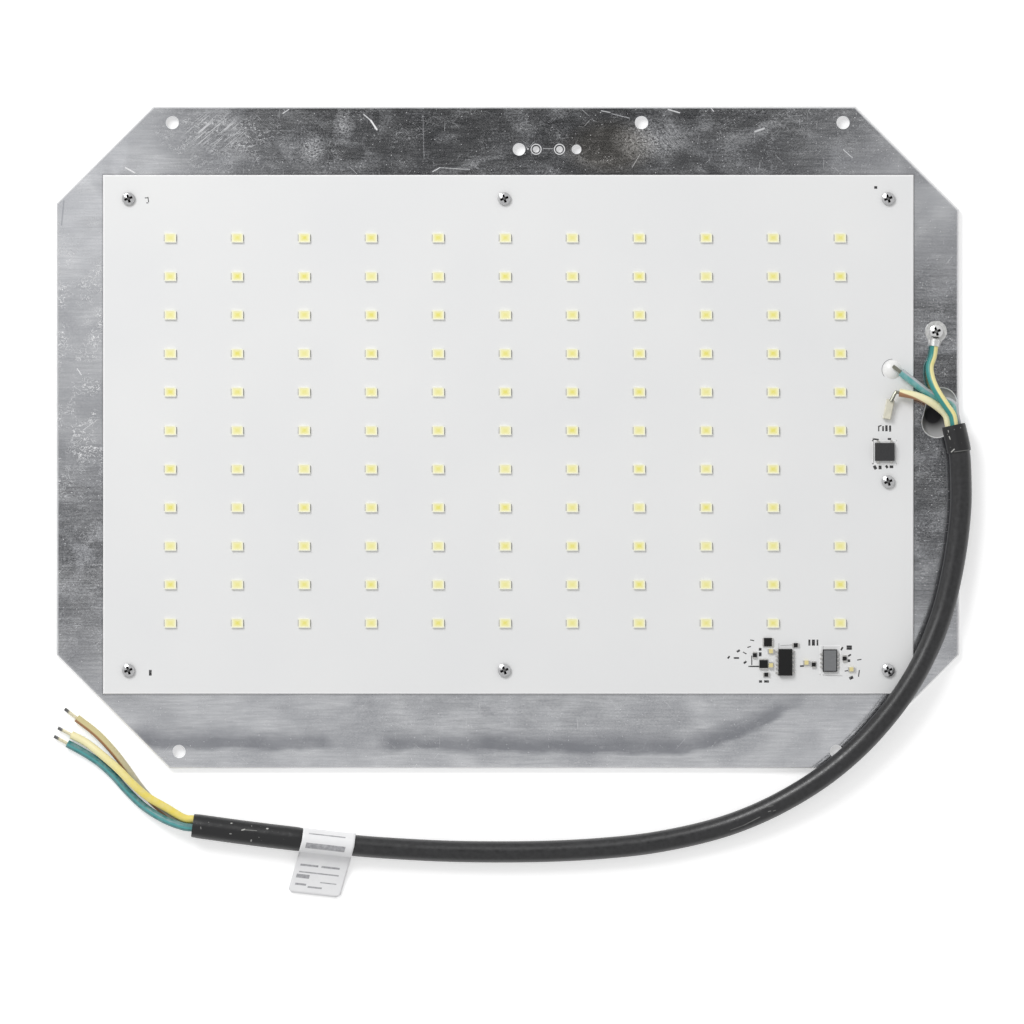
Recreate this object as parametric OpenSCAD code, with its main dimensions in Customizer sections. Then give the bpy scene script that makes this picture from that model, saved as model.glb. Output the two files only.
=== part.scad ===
// LED panel: a white LED board screwed to a bare aluminium plate with cut corners, fed by a short
// three-core cable. All sizes are in millimetres. The origin is the middle of the plate's back
// face, +X runs to the right along the board, +Y up the board and +Z out of the lit side.

/* [Plate] */
// Width of the plate
plate_w = 270; // [266:0.5:300]
// Height of the plate
plate_h = 198; // [192:0.5:230]
// Thickness of the sheet
plate_t = 2; // [1.5:0.1:4]
// Corner cut at the top left, along each edge
cut_top_left = 29; // [10:0.5:33]
// Corner cut at the top right, along each edge
cut_top_right = 31; // [10:0.5:33]
// Corner cut at the bottom left, along each edge
cut_bottom_left = 34; // [10:0.5:35]
// Corner cut at the bottom right, along each edge
cut_bottom_right = 34; // [10:0.5:35]
// Chamfer that breaks the plate's edges
edge_break = 0.3; // [0.1:0.05:0.5]

/* [Plate holes] */
// Diameter of the fixing holes
fixing_d = 4; // [3:0.1:5]
// Distance of the fixing holes from the top and bottom edges
fixing_edge = 5; // [4:0.5:7]
// Distance between the two top fixing holes
top_pitch = 200.5; // [180:0.5:204]
// Distance between the two bottom fixing holes
bottom_pitch = 196.5; // [180:0.5:200]
// Place of the third top hole along the edge
spare_x = 40; // [30:0.5:80]
// Distance of the row of four small holes from the top edge
row_edge = 13; // [11:0.5:16]
// Middle of that row along the edge
row_x = 12; // [-20:0.5:20]
// Distance from the first to the last hole of the row
row_w = 17.2; // [15:0.1:24]
// Diameter of the row's first hole
row_first_d = 3.8; // [2:0.1:4]
// Diameter of the row's last hole
row_last_d = 2.9; // [2:0.1:4]
// Diameter of the two pilot holes between them
pilot_d = 2; // [1:0.1:2.4]
// Diameter of the pilot holes' countersunk rim
pilot_rim_d = 2.8; // [2.5:0.1:3.4]
// Distance between the pilot holes
pilot_pitch = 7; // [5:0.1:8]

/* [Cable slot] */
// Width of the slot
slot_w = 8.7; // [6:0.1:9]
// Length of the slot from end to end
slot_l = 14.8; // [12:0.1:16]
// Distance of the slot's middle from the plate's right edge
slot_edge = 6; // [6:0.1:8]
// Height of the slot's middle above the plate's middle
slot_y = 7.3; // [0:0.1:12]
// Lean of the slot to the right, in degrees
slot_lean = 14; // [0:1:14]
// Chamfer round the slot's mouth
slot_rim = 0.3; // [0.1:0.05:0.3]

/* [Board] */
// Border of bare plate to the left of the board
border_left = 14.2; // [10:0.1:20]
// Border of bare plate to the right of the board
border_right = 13.8; // [13.5:0.1:16]
// Border of bare plate above the board
border_top = 20.75; // [18:0.25:24]
// Border of bare plate below the board
border_bottom = 22.25; // [20:0.25:26]
// Thickness of the board
board_t = 1.5; // [1:0.1:3]
// Bevel that the scoring leaves along the board's edges
board_bevel = 0.25; // [0.1:0.05:0.4]

/* [Board screws] */
// Thread diameter of the board screws
screw_d = 2; // [1.6:0.1:2.5]
// Length of thread that bites in the plate
screw_bite = 1.4; // [1:0.1:1.5]
// Head diameter of the board screws
screw_head_d = 3.8; // [3.4:0.1:5]
// Head height of the board screws
screw_head_h = 1.4; // [1:0.1:1.8]
// Distance of the screws from the board's left and right edges
screw_edge_x = 7.6; // [5:0.1:9]
// Distance of the screws from the board's top and bottom edges
screw_edge_y = 7.1; // [5:0.1:9]
// Place of the middle screws, to the right of the board's middle
mid_screw_x = -1.2; // [-8:0.1:8]
// Place of the right-hand screw, above the board's middle
side_screw_y = -14.1; // [-20:0.1:-12]

/* [LED array] */
// LEDs in a row
led_columns = 11; // [2:1:11]
// Rows of LEDs
led_rows = 11; // [1:1:11]
// Distance of the first column from the board's left edge
array_left = 20.1; // [15:0.1:30]
// Distance of the last column from the board's right edge
array_right = 21.9; // [20:0.1:30]
// Distance of the first row from the board's top edge
array_top = 18.8; // [14:0.1:25]
// Distance of the last row from the board's bottom edge
array_bottom = 21.2; // [20:0.1:30]

/* [LED package] */
// Length of the housing along the row
led_l = 3.5; // [3.2:0.1:4.5]
// Width of the housing
led_w = 2.8; // [2.6:0.1:4]
// Height of the housing
led_h = 0.7; // [0.6:0.05:1.2]
// Length of the cup at its rim
cup_l = 2.7; // [2:0.1:2.9]
// Width of the cup at its rim
cup_w = 2.2; // [1.6:0.1:2.3]
// Depth of the cup
cup_depth = 0.4; // [0.2:0.05:0.4]
// Draft of the cup's walls, inward from rim to floor
cup_draft = 0.2; // [0.05:0.05:0.3]
// Corner cut of the cup
cup_corner = 0.45; // [0.2:0.05:0.6]
// Depth of the phosphor below the cup's rim
phosphor_drop = 0.05; // [0.02:0.01:0.1]
// Clipped corner that marks the cathode
key_cut = 0.45; // [0.2:0.05:0.5]
// Width of a terminal
terminal_w = 2; // [1:0.1:2.2]
// Length of a terminal under the housing
terminal_l = 0.55; // [0.3:0.05:0.9]
// Length of a terminal past the housing's end
terminal_out = 0.15; // [0.05:0.05:0.4]
// Thickness of a terminal
terminal_t = 0.15; // [0.1:0.05:0.2]

/* [Bridge rectifier] */
// Length of the body along X
bridge_l = 5.9; // [4:0.1:7]
// Width of the body along Y
bridge_w = 5.4; // [4:0.1:6]
// Height of the body
bridge_h = 1.6; // [1.2:0.1:2.5]
// Distance between the two leads of a side
bridge_lead_pitch = 4; // [2:0.1:4.2]
// Width of a lead
bridge_lead_w = 0.7; // [0.4:0.1:1]
// Middle of the body from the board's right edge
bridge_edge = 8.65; // [6:0.05:10]
// Middle of the body above the board's middle
bridge_y = -5.2; // [-5.6:0.1:-3]

/* [Driver chip] */
// Length of the body along X
driver_l = 4.2; // [3.5:0.1:4.6]
// Width of the body along Y
driver_w = 8; // [6.5:0.1:8.4]
// Height of the body
driver_h = 1.6; // [1.2:0.1:2.5]
// Leads on each side of the driver chip
driver_leads = 6; // [2:1:6]
// Middle of the body from the board's right edge
driver_edge = 38.3; // [38:0.1:39]
// Middle of the body above the board's bottom edge
driver_y = 9.5; // [9:0.1:11]

/* [Power transistor] */
// Length of the body along X
power_l = 4.3; // [3.5:0.1:4.6]
// Width of the body along Y
power_w = 6.7; // [5:0.1:7.5]
// Height of the body under its metal top
power_h = 1.3; // [1:0.1:2]
// Thickness of the metal top
power_top_t = 0.2; // [0.1:0.05:0.5]
// Rim of the body that shows round the metal top
power_rim = 0.3; // [0.3:0.05:0.6]
// Leads on each side of the power transistor
power_leads = 4; // [2:1:4]
// Middle of the body from the board's right edge
power_edge = 25; // [24.5:0.1:25.5]
// Middle of the body above the board's bottom edge
power_y = 10; // [9:0.1:11]

/* [Chip leads] */
// Distance between neighbouring chip leads
lead_pitch = 1.27; // [1:0.01:1.27]
// Width of a chip lead
lead_w = 0.45; // [0.3:0.05:0.6]
// Thickness of the lead strip
lead_t = 0.2; // [0.1:0.05:0.25]
// Reach of a lead past the body
lead_reach = 0.8; // [0.6:0.1:1]
// Moulding draft of the chip bodies, inward from the middle to each face
body_draft = 0.2; // [0.1:0.05:0.25]

/* [Chip resistors and capacitors] */
// Length of a small chip
chip_l = 2; // [1.6:0.1:2.1]
// Width of a small chip
chip_w = 1.2; // [0.8:0.1:1.3]
// Length of the large chip resistors
big_chip_l = 3.2; // [2.5:0.1:3.4]
// Width of the large chip resistors
big_chip_w = 2.5; // [2:0.1:2.6]
// Height of a chip resistor
resistor_h = 0.55; // [0.4:0.05:0.7]
// Height of a chip capacitor
capacitor_h = 0.8; // [0.5:0.05:1.2]
// Length of a chip's metal end
chip_end = 0.4; // [0.2:0.05:0.5]

/* [Wire joints] */
// Radius of the round neutral joint
joint_r = 2.8; // [2:0.1:3.2]
// Height of the neutral joint
joint_h = 1.2; // [0.8:0.1:1.6]
// Middle of the neutral joint from the board's right edge
joint_edge = 6.3; // [5:0.1:8]
// Middle of the neutral joint above the board's middle
joint_y = 19.35; // [18:0.05:21]
// Width of the live tab
tab_w = 2.4; // [1.6:0.1:3]
// Length of the live tab
tab_l = 6; // [5:0.1:7]
// Height of the live tab
tab_h = 2; // [1.5:0.1:2.5]
// Inward lean of the live tab's edges
tab_inset = 0.25; // [0.1:0.05:0.5]
// Height of those leaning edges
tab_rise = 0.5; // [0.2:0.05:0.7]
// Middle of the live tab from the board's right edge
tab_edge = 7.5; // [6:0.1:9]
// Middle of the live tab above the board's middle
tab_y = 7.45; // [6:0.05:9]
// Lean of the live tab to the right, in degrees
tab_lean = 12; // [0:1:20]

/* [Earth terminal] */
// Outside diameter of the ring
ring_d = 6.4; // [6:0.1:7]
// Thickness of the ring
ring_t = 0.7; // [0.5:0.1:1]
// Middle of the ring from the plate's right edge
ring_edge = 7; // [5:0.1:8]
// Middle of the ring above the plate's middle
ring_y = 31.5; // [28:0.5:40]
// Turn of the terminal from straight down, in degrees
ring_turn = 8; // [0:1:20]
// Diameter of the crimp barrel
barrel_d = 3; // [2.6:0.1:3.4]
// Distance of the barrel's mouth from the ring's middle
barrel_reach = 4.4; // [4:0.1:6]
// Thread diameter of the earth screw
earth_screw_d = 2.5; // [2:0.1:3]
// Head diameter of the earth screw
earth_head_d = 4; // [3.8:0.1:4.6]
// Head height of the earth screw
earth_head_h = 1.5; // [1:0.1:2]

/* [Cable] */
// Outside diameter of the cable
jacket_d = 6.4; // [6.2:0.1:6.6]
// Outside diameter of an insulated core
core_d = 2.4; // [2:0.1:2.4]
// Diameter of a bare conductor
conductor_d = 1.1; // [0.8:0.1:1.2]
// Wall of the shrink sleeves
sleeve_wall = 0.3; // [0.1:0.05:0.35]
// Length of the bare tips
tip_l = 4.5; // [3:0.5:8]

/* [Cable label] */
// Thickness of the label film
film_t = 0.3; // [0.2:0.05:0.4]
// Reach of the flag from the cable's middle line
flag_reach = 16.2; // [10:0.1:20]
// Sideways slant of the flag over its reach
flag_slant = 2.7; // [0:0.1:5]
// Corner cut of the flag
flag_corner = 1.2; // [0.5:0.1:2]

/* [Hidden] */
$fn = 48;
// Length by which a cutting tool passes the face it cuts
past = 1;
// Play of a screw in its hole, on the diameter
screw_play = 0.1;
// Play of a screw in the board or the ring, on the diameter
clear_play = 0.3;
// Play of a sleeve or the label on the jacket, on the radius
slip = 0.1;
// Air between a cord and what it lies on
lay_gap = 0.1;
// Air between a bare conductor and its joint
joint_gap = 0.08;
// Air between the label and the sleeve beside it
label_gap = 0.2;
// Depth of the flag's film below the label's wrap, so that the two cross
flag_sink = 0.05;
// Height by which the cup's cutting tool passes the housing's top
cup_past = 0.1;
// Shares of a screw head's height that are domed and that its cross recess is sunk
crown_share = 0.4;
recess_h_share = 0.6;
// Shares of a screw head's diameter that the recess is long and wide, and its turn in degrees
recess_l_share = 0.66;
recess_w_share = 0.19;
recess_turn = 20;
// Share of the ring's diameter at which its tongue starts
tongue_share = 0.9;
// Shares of a lead's reach at which it bends down and out
shoulder_share = 0.3;
knee_share = 0.45;
// Sides of the jacket's and the cores' tubes
jacket_sides = 12;
core_sides = 8;

// Corners of the plate, going round from the top left
plate_corners = let (x = plate_w / 2, y = plate_h / 2) [
    [-x + cut_top_left, y], [x - cut_top_right, y], [x, y - cut_top_right], [x, -y + cut_bottom_right],
    [x - cut_bottom_right, -y], [-x + cut_bottom_left, -y], [-x, -y + cut_bottom_left],
    [-x, y - cut_top_left]
];

board_w = plate_w - border_left - border_right;
board_h = plate_h - border_top - border_bottom;
board_x = (border_left - border_right) / 2;
board_y = (border_bottom - border_top) / 2;
board_top = plate_t + board_t;
board_right = board_x + board_w / 2;
board_bottom = board_y - board_h / 2;
fixing_y = plate_h / 2 - fixing_edge;
ring_x = plate_w / 2 - ring_edge;
sleeve_in = jacket_d / 2 + slip;
sleeve_r = sleeve_in + sleeve_wall;
label_r = sleeve_in + film_t;

// Pitch of the LEDs, and the middle of their array measured from the board's middle
pitch_x = (board_w - array_left - array_right) / max(led_columns - 1, 1);
pitch_y = (board_h - array_top - array_bottom) / max(led_rows - 1, 1);
array_x = (array_left - array_right) / 2;
array_y = (array_bottom - array_top) / 2;

// Board screws, measured from the board's middle
screw_x = board_w / 2 - screw_edge_x;
screw_y = board_h / 2 - screw_edge_y;
screw_places = [
    for (y = [-screw_y, screw_y], x = [-screw_x, mid_screw_x, screw_x]) [x, y],
    [screw_x, side_screw_y]
];

// Small chips, each as [left of the board's right edge, above its bottom edge, turn in degrees]
resistor_places = [
    [44, 5.8, 0], [47.4, 11.6, 90], [29.8, 8.8, 90], [20.6, 10.6, 90], [35.2, 14.6, 0]
];
capacitor_places = [[42.6, 12.8, 0], [42.6, 8.6, 90], [32, 9.4, 0], [18.6, 7.4, 0]];
big_resistor_places = [[43.5, 15.5, 0], [44.8, 8.95, 90]];

// Heights of the cable's middle line where it lies on the floor, the plate and the board
on_floor = jacket_d / 2 + lay_gap;
on_plate = plate_t + jacket_d / 2 + lay_gap;
on_board = board_top + jacket_d / 2 + lay_gap;
entry_z = plate_t + sleeve_r + lay_gap;
tail_z = label_r + lay_gap;

// Route of the cable from the board to its tail
jacket_route = [
    [133, 3.5, entry_z], [134.7, -4.5, entry_z], [135.2, -12, on_plate], [135.2, -20.5, on_plate],
    [134.2, -31, on_plate], [132.4, -41.5, on_plate + 0.2], [129.8, -52, on_plate + 0.5],
    [125.8, -62.5, on_board - 0.4], [120.3, -73, on_board + 0.1], [113.2, -83, on_board - 0.2],
    [104.3, -92.8, on_plate + 0.5], [93.7, -101.6, on_plate], [81.7, -109, on_floor + 1.1],
    [69.7, -114.5, on_floor + 0.4], [57.5, -118.3, on_floor], [42.5, -121.3, on_floor],
    [27.5, -122.9, on_floor], [12.5, -123.7, on_floor], [-2.5, -123.9, on_floor],
    [-17.5, -123.7, on_floor], [-32, -123, on_floor + 0.1], [-45.5, -122, tail_z],
    [-61.5, -120.2, tail_z], [-78, -118.2, tail_z], [-94, -116, tail_z]
];
jacket_last = len(jacket_route) - 1;
label_first = jacket_last - 3;
sleeve_tail_first = jacket_last - 2;

// Straight run of each core out of the cable or the crimp barrel
core_run = 3;
// Length of the neutral core's bare end, and the straight start of the live core's
bare_l = 3;
bare_run = 1;
entry_way = unit(jacket_route[0] - jacket_route[1]);
tail_way = unit(jacket_route[jacket_last] - jacket_route[jacket_last - 1]);

// Places of the cores in the cable's ends, as [sideways, up] from its middle
earth_entry = core_place(jacket_route[0], entry_way, -0.15, 1.5);
neutral_entry = core_place(jacket_route[0], entry_way, -1.25, -0.95);
live_entry = core_place(jacket_route[0], entry_way, 1.38, -0.62);
earth_exit = core_place(jacket_route[jacket_last], tail_way, -1.9, 0.3);
neutral_exit = core_place(jacket_route[jacket_last], tail_way, 0.6, 1.2);
live_exit = core_place(jacket_route[jacket_last], tail_way, 0.1, -1.3);

// Routes of the cores at the board end, each from its joint to the cable
barrel_way = [-sin(ring_turn), -cos(ring_turn), 0];
barrel_mouth = [ring_x, ring_y, plate_t + barrel_d / 2] + barrel_reach * barrel_way;
joint_top = board_top + joint_h + conductor_d / 2 + joint_gap;
tab_top = board_top + tab_h + conductor_d / 2 + joint_gap;
earth_route = [
    barrel_mouth, barrel_mouth + core_run * barrel_way,
    [126, 21.2, plate_t + 2.2], [126.2, 18.2, plate_t + 3.3], [127.2, 15.1, plate_t + 4.4],
    [128.9, 12, plate_t + 5.2], [130.8, 9.1, plate_t + 5.4],
    earth_entry + core_run * entry_way, earth_entry
];
neutral_route = [
    [117.3, 19.3, joint_top + 0.05], [121.3, 16.2, joint_top], [125.4, 13.1, plate_t + 2.7],
    [129, 10.9, plate_t + 2.2], [131.5, 10.6, plate_t + 2.05], [133.2, 9.2, plate_t + 2.05],
    neutral_entry + core_run * entry_way, neutral_entry
];
live_route = [
    [116.8, 13.2, tab_top], [121.5, 12.3, tab_top + 0.3], [125.7, 10.6, tab_top + 0.2],
    [129.1, 8.3, tab_top - 0.6], live_entry + core_run * entry_way, live_entry
];
neutral_bare_route = [
    neutral_route[0], neutral_route[0] - bare_l * unit(neutral_route[1] - neutral_route[0])
];
live_bare_route = [
    live_route[0], live_route[0] - bare_run * unit(live_route[1] - live_route[0]),
    [115.2, 12.4, tab_top], [114.3, 10.6, tab_top]
];

// Routes of the cores at the tail, each from the cable to its bare tip
on_floor_core = core_d / 2 + lay_gap;
over_core = on_floor_core + core_d + 0.2;
earth_tail_route = [
    earth_exit, earth_exit + core_run * tail_way, [-102, -110.6, over_core], [-107.5, -107.4, over_core],
    [-112, -103.5, over_core], [-116.5, -99, over_core - 0.6], [-121.5, -94.7, on_floor_core + 1.4],
    [-126, -91.3, on_floor_core + 0.4], [-130.4, -89, on_floor_core]
];
neutral_tail_route = [
    neutral_exit, neutral_exit + core_run * tail_way, [-102.5, -114.2, on_floor_core + 2.5],
    [-108.5, -110.6, on_floor_core + 0.6], [-113.5, -106, on_floor_core], [-117.8, -101.2, on_floor_core],
    [-122, -97.4, on_floor_core], [-126.5, -94.4, on_floor_core], [-131.6, -91.6, on_floor_core]
];
live_tail_route = [
    live_exit, live_exit + core_run * tail_way, [-102, -112.5, on_floor_core + 0.2],
    [-106.5, -108.5, on_floor_core], [-110.2, -104.3, on_floor_core], [-113.8, -99.2, on_floor_core],
    [-117.8, -94, on_floor_core], [-122.8, -88.7, on_floor_core], [-128.8, -84, on_floor_core]
];

function row_name(row, what) = str("led_row_", row < 10 ? "0" : "", row, "_", what);

// Unit vector along v
function unit(v) = v / norm(v);

// Heading of a route at its point i
function heading(route, i) = unit(route[min(i + 1, len(route) - 1)] - route[max(i - 1, 0)]);

// Level vector to the left of a heading
function across(way) = unit(cross([0, 0, 1], way));

// Ring of points round a route's point i, square to its heading
function ring(route, i, r, sides) =
    let (way = heading(route, i), left = across(way), up = cross(way, left))
    [for (k = [0 : sides - 1]) route[i] + r * (cos(360 * k / sides) * left + sin(360 * k / sides) * up)];

// Place of a core in the cable's end face, left and up from the cable's middle
function core_place(end, way, left, up) = end + left * across(way) + up * cross(way, across(way));

// Two triangles of the patch with corners a, b, c and d
function patch(a, b, c, d) = [[a, b, c], [a, c, d]];

// Solid tube along a route
module cord(route, r, sides) {
    last = len(route) - 1;
    points = [for (i = [0 : last]) each ring(route, i, r, sides)];
    start_cap = [for (k = [0 : sides - 1]) k];
    end_cap = [for (k = [sides - 1 : -1 : 0]) last * sides + k];
    wall = [
        for (i = [0 : last - 1], k = [0 : sides - 1])
            let (a = i * sides, b = a + sides, n = (k + 1) % sides)
            each patch(a + k, b + k, b + n, a + n)
    ];
    polyhedron(points, concat([start_cap, end_cap], wall));
}

// Hollow tube along part of a route, from its point first to its point last
module sleeve(route, first, last, r_in, r_out, sides) {
    points = [for (i = [first : last], r = [r_out, r_in]) each ring(route, i, r, sides)];
    steps = last - first;
    end = 2 * sides * steps;
    faces = [
        for (k = [0 : sides - 1])
            let (n = (k + 1) % sides)
            each concat(
                patch(k, n, sides + n, sides + k),
                patch(end + k, end + sides + k, end + sides + n, end + n),
                [
                    for (i = [0 : steps - 1])
                        let (a = 2 * sides * i, b = a + 2 * sides, c = a + sides, d = b + sides)
                        each concat(patch(a + k, b + k, b + n, a + n), patch(c + k, c + n, d + n, d + k))
                ]
            )
    ];
    polyhedron(points, faces);
}

// Block whose four sides lean inward by inset over rise at its top and bottom faces
module eased_block(l, w, h, inset, rise) {
    intersection() {
        rotate([90, 0, 0])
            linear_extrude(w, center = true)
                eased_profile(l, h, inset, rise);
        rotate([90, 0, 90])
            linear_extrude(l, center = true)
                eased_profile(w, h, inset, rise);
    }
}

module eased_profile(l, h, inset, rise) {
    polygon([
        [-l / 2 + inset, 0], [l / 2 - inset, 0], [l / 2, rise], [l / 2, h - rise],
        [l / 2 - inset, h], [-l / 2 + inset, h], [-l / 2, h - rise], [-l / 2, rise]
    ]);
}

// Moulded body with its parting line at mid-height
module moulded_body(l, w, h) {
    eased_block(l, w, h, body_draft, h / 2 - lead_t / 2);
}

// Pan-head screw with a cross recess; the head's seat is at z = 0
module pan_screw(d, l, head_d, head_h) {
    crown = crown_share * head_h;
    crown_r = (head_d * head_d / 4 + crown * crown) / (2 * crown);
    recess_l = recess_l_share * head_d;
    recess_w = recess_w_share * head_d;
    recess_h = recess_h_share * head_h;
    difference() {
        union() {
            intersection() {
                cylinder(d = head_d, h = head_h);
                translate([0, 0, head_h - crown_r])
                    sphere(crown_r);
            }
            translate([0, 0, -l])
                cylinder(d = d, h = l + head_h - crown);
        }
        for (turn = [0, 90])
            rotate(turn + recess_turn)
                translate([-recess_l / 2, -recess_w / 2, head_h - recess_h])
                    cube([recess_l, recess_w, recess_h + past]);
    }
}

// Gull-wing lead; it leaves the body at y = 0 and height exit_z, and its foot stands at z = 0
module gull_lead(w, exit_z) {
    shoulder = shoulder_share * lead_reach;
    knee = knee_share * lead_reach;
    rotate([90, 0, 90])
        linear_extrude(w, center = true)
            polygon([
                [0, exit_z - lead_t / 2], [shoulder, exit_z - lead_t / 2], [knee, 0], [lead_reach, 0],
                [lead_reach, lead_t], [knee + lead_t, lead_t], [shoulder + lead_t, exit_z + lead_t / 2],
                [0, exit_z + lead_t / 2]
            ]);
}

// Rows of leads along the two sides of a chip body that is l wide
module lead_pair(l, exit_z, count) {
    for (side = [0, 180], i = [0 : count - 1])
        rotate(side)
            translate([l / 2, (i - (count - 1) / 2) * lead_pitch, 0])
                rotate(-90)
                    gull_lead(lead_w, exit_z);
}

// Places on the board's top face
module on_board_at(x, y) {
    translate([board_x + x, board_y + y, board_top])
        children();
}

module from_corner(left, above, turn = 0) {
    translate([board_right - left, board_bottom + above, board_top])
        rotate(turn)
            children();
}

// Square bars set on edge along the plate's edges, which leave a chamfer there
module edge_bars() {
    corners = len(plate_corners);
    side = edge_break * sqrt(2);
    for (i = [0 : corners - 1], z = [0, plate_t]) {
        way = plate_corners[(i + 1) % corners] - plate_corners[i];
        translate([plate_corners[i].x, plate_corners[i].y, z])
            rotate(atan2(way.y, way.x))
                rotate([45, 0, 0])
                    translate([-past, -side / 2, -side / 2])
                        cube([norm(way) + 2 * past, side, side]);
    }
}

module plate_hole(x, y, d) {
    translate([x, y, -past])
        cylinder(d = d, h = plate_t + 2 * past);
}

// Round-ended slot with a chamfered mouth
module cable_slot() {
    between = slot_l - slot_w;
    rim_w = slot_w + 2 * slot_rim;
    rim_z = plate_t - slot_rim;
    translate([plate_w / 2 - slot_edge, slot_y, 0])
        rotate(-slot_lean) {
            for (end = [-1, 1])
                translate([0, end * between / 2, 0]) {
                    plate_hole(0, 0, slot_w);
                    translate([0, 0, rim_z])
                        cylinder(d1 = slot_w, d2 = rim_w, h = slot_rim);
                }
            rotate([90, 0, 0])
                linear_extrude(between, center = true)
                    polygon([
                        [-slot_w / 2, -past], [slot_w / 2, -past], [slot_w / 2, rim_z], [rim_w / 2, plate_t],
                        [rim_w / 2, plate_t + past], [-rim_w / 2, plate_t + past], [-rim_w / 2, plate_t],
                        [-slot_w / 2, rim_z]
                    ]);
        }
}

module mounting_plate() {
    rim_depth = (pilot_rim_d - pilot_d) / 2;
    color("silver")
        difference() {
            linear_extrude(plate_t)
                polygon(plate_corners);
            edge_bars();
            for (side = [-1, 1]) {
                plate_hole(side * top_pitch / 2, fixing_y, fixing_d);
                plate_hole(side * bottom_pitch / 2, -fixing_y, fixing_d);
            }
            plate_hole(spare_x, fixing_y, fixing_d);
            plate_hole(row_x - row_w / 2, plate_h / 2 - row_edge, row_first_d);
            plate_hole(row_x + row_w / 2, plate_h / 2 - row_edge, row_last_d);
            for (side = [-1, 1]) {
                plate_hole(row_x + side * pilot_pitch / 2, plate_h / 2 - row_edge, pilot_d);
                translate([row_x + side * pilot_pitch / 2, plate_h / 2 - row_edge, plate_t - rim_depth])
                    cylinder(d1 = pilot_d, d2 = pilot_rim_d, h = rim_depth);
            }
            for (place = screw_places)
                plate_hole(board_x + place.x, board_y + place.y, screw_d);
            plate_hole(ring_x, ring_y, earth_screw_d);
            cable_slot();
        }
}

module led_board() {
    color("white")
        translate([board_x, board_y, plate_t])
            difference() {
                eased_block(board_w, board_h, board_t, board_bevel, board_bevel);
                for (place = screw_places)
                    translate([place.x, place.y, -past])
                        cylinder(d = screw_d + clear_play, h = board_t + 2 * past);
            }
}

module board_screws() {
    color("dimgray")
        for (place = screw_places)
            on_board_at(place.x, place.y)
                pan_screw(screw_d - screw_play, board_t + screw_bite, screw_head_d, screw_head_h);
}

// Every LED of one row, counted from the top
module along_row(row) {
    for (column = [1 : led_columns])
        on_board_at(
            array_x + (column - (led_columns + 1) / 2) * pitch_x,
            array_y + ((led_rows + 1) / 2 - row) * pitch_y
        )
            children();
}

// Reflector cup with drafted walls and cut corners, from the cup's floor up to the height h
module led_cup(h) {
    slope = cup_draft / cup_depth;
    l = cup_l - 2 * cup_draft;
    w = cup_w - 2 * cup_draft;
    spread = slope * h;
    translate([0, 0, led_h - cup_depth])
        intersection() {
            rotate([90, 0, 0])
                linear_extrude(w + 2 * spread, center = true)
                    polygon([[-l / 2, 0], [l / 2, 0], [l / 2 + spread, h], [-l / 2 - spread, h]]);
            rotate([90, 0, 90])
                linear_extrude(l + 2 * spread, center = true)
                    polygon([[-w / 2, 0], [w / 2, 0], [w / 2 + spread, h], [-w / 2 - spread, h]]);
            linear_extrude(h)
                cut_rectangle(cup_l, cup_w, cup_corner);
        }
}

// Rectangle with its four corners cut
module cut_rectangle(l, w, cut) {
    polygon([
        [-l / 2 + cut, -w / 2], [l / 2 - cut, -w / 2], [l / 2, -w / 2 + cut], [l / 2, w / 2 - cut],
        [l / 2 - cut, w / 2], [-l / 2 + cut, w / 2], [-l / 2, w / 2 - cut], [-l / 2, -w / 2 + cut]
    ]);
}

module terminal_pair() {
    for (side = [0, 180])
        rotate(side)
            translate([led_l / 2 - terminal_l, -terminal_w / 2, 0])
                cube([terminal_l + terminal_out, terminal_w, terminal_t]);
}

module led_housings(row) {
    color("ivory")
        along_row(row)
            difference() {
                linear_extrude(led_h)
                    polygon([
                        [-led_l / 2, -led_w / 2], [led_l / 2, -led_w / 2], [led_l / 2, led_w / 2 - key_cut],
                        [led_l / 2 - key_cut, led_w / 2], [-led_l / 2, led_w / 2]
                    ]);
                led_cup(cup_depth + cup_past);
                terminal_pair();
            }
}

module led_phosphor(row) {
    color("khaki")
        along_row(row)
            led_cup(cup_depth - phosphor_drop);
}

module led_terminals() {
    color("lightgray")
        for (row = [1 : led_rows])
            along_row(row)
                terminal_pair();
}

module bridge_rectifier() {
    color("black")
        from_corner(bridge_edge, bridge_y + board_h / 2)
            moulded_body(bridge_l, bridge_w, bridge_h);
}

module bridge_leads() {
    color("lightgray")
        from_corner(bridge_edge, bridge_y + board_h / 2)
            for (side = [0, 180], i = [-1, 1])
                rotate(side)
                    translate([i * bridge_lead_pitch / 2, bridge_w / 2, 0])
                        gull_lead(bridge_lead_w, bridge_h / 2);
}

module driver_chip() {
    color("black")
        from_corner(driver_edge, driver_y)
            moulded_body(driver_l, driver_w, driver_h);
}

module driver_leads_pair() {
    color("lightgray")
        from_corner(driver_edge, driver_y)
            lead_pair(driver_l, driver_h / 2, driver_leads);
}

module power_transistor() {
    color("dimgray")
        from_corner(power_edge, power_y)
            moulded_body(power_l, power_w, power_h);
}

module power_transistor_top() {
    color("gray")
        from_corner(power_edge, power_y)
            translate([0, 0, power_h])
                linear_extrude(power_top_t)
                    square([power_l - 2 * power_rim, power_w - 2 * power_rim], center = true);
}

module power_leads_pair() {
    color("lightgray")
        from_corner(power_edge, power_y)
            lead_pair(power_l, power_h / 2, power_leads);
}

// Body of a chip part between its two metal ends
module chip_body(l, w, h) {
    translate([-l / 2 + chip_end, -w / 2, 0])
        cube([l - 2 * chip_end, w, h]);
}

module chip_ends(l, w, h) {
    for (side = [0, 180])
        rotate(side)
            translate([l / 2 - chip_end, -w / 2, 0])
                cube([chip_end, w, h]);
}

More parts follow.
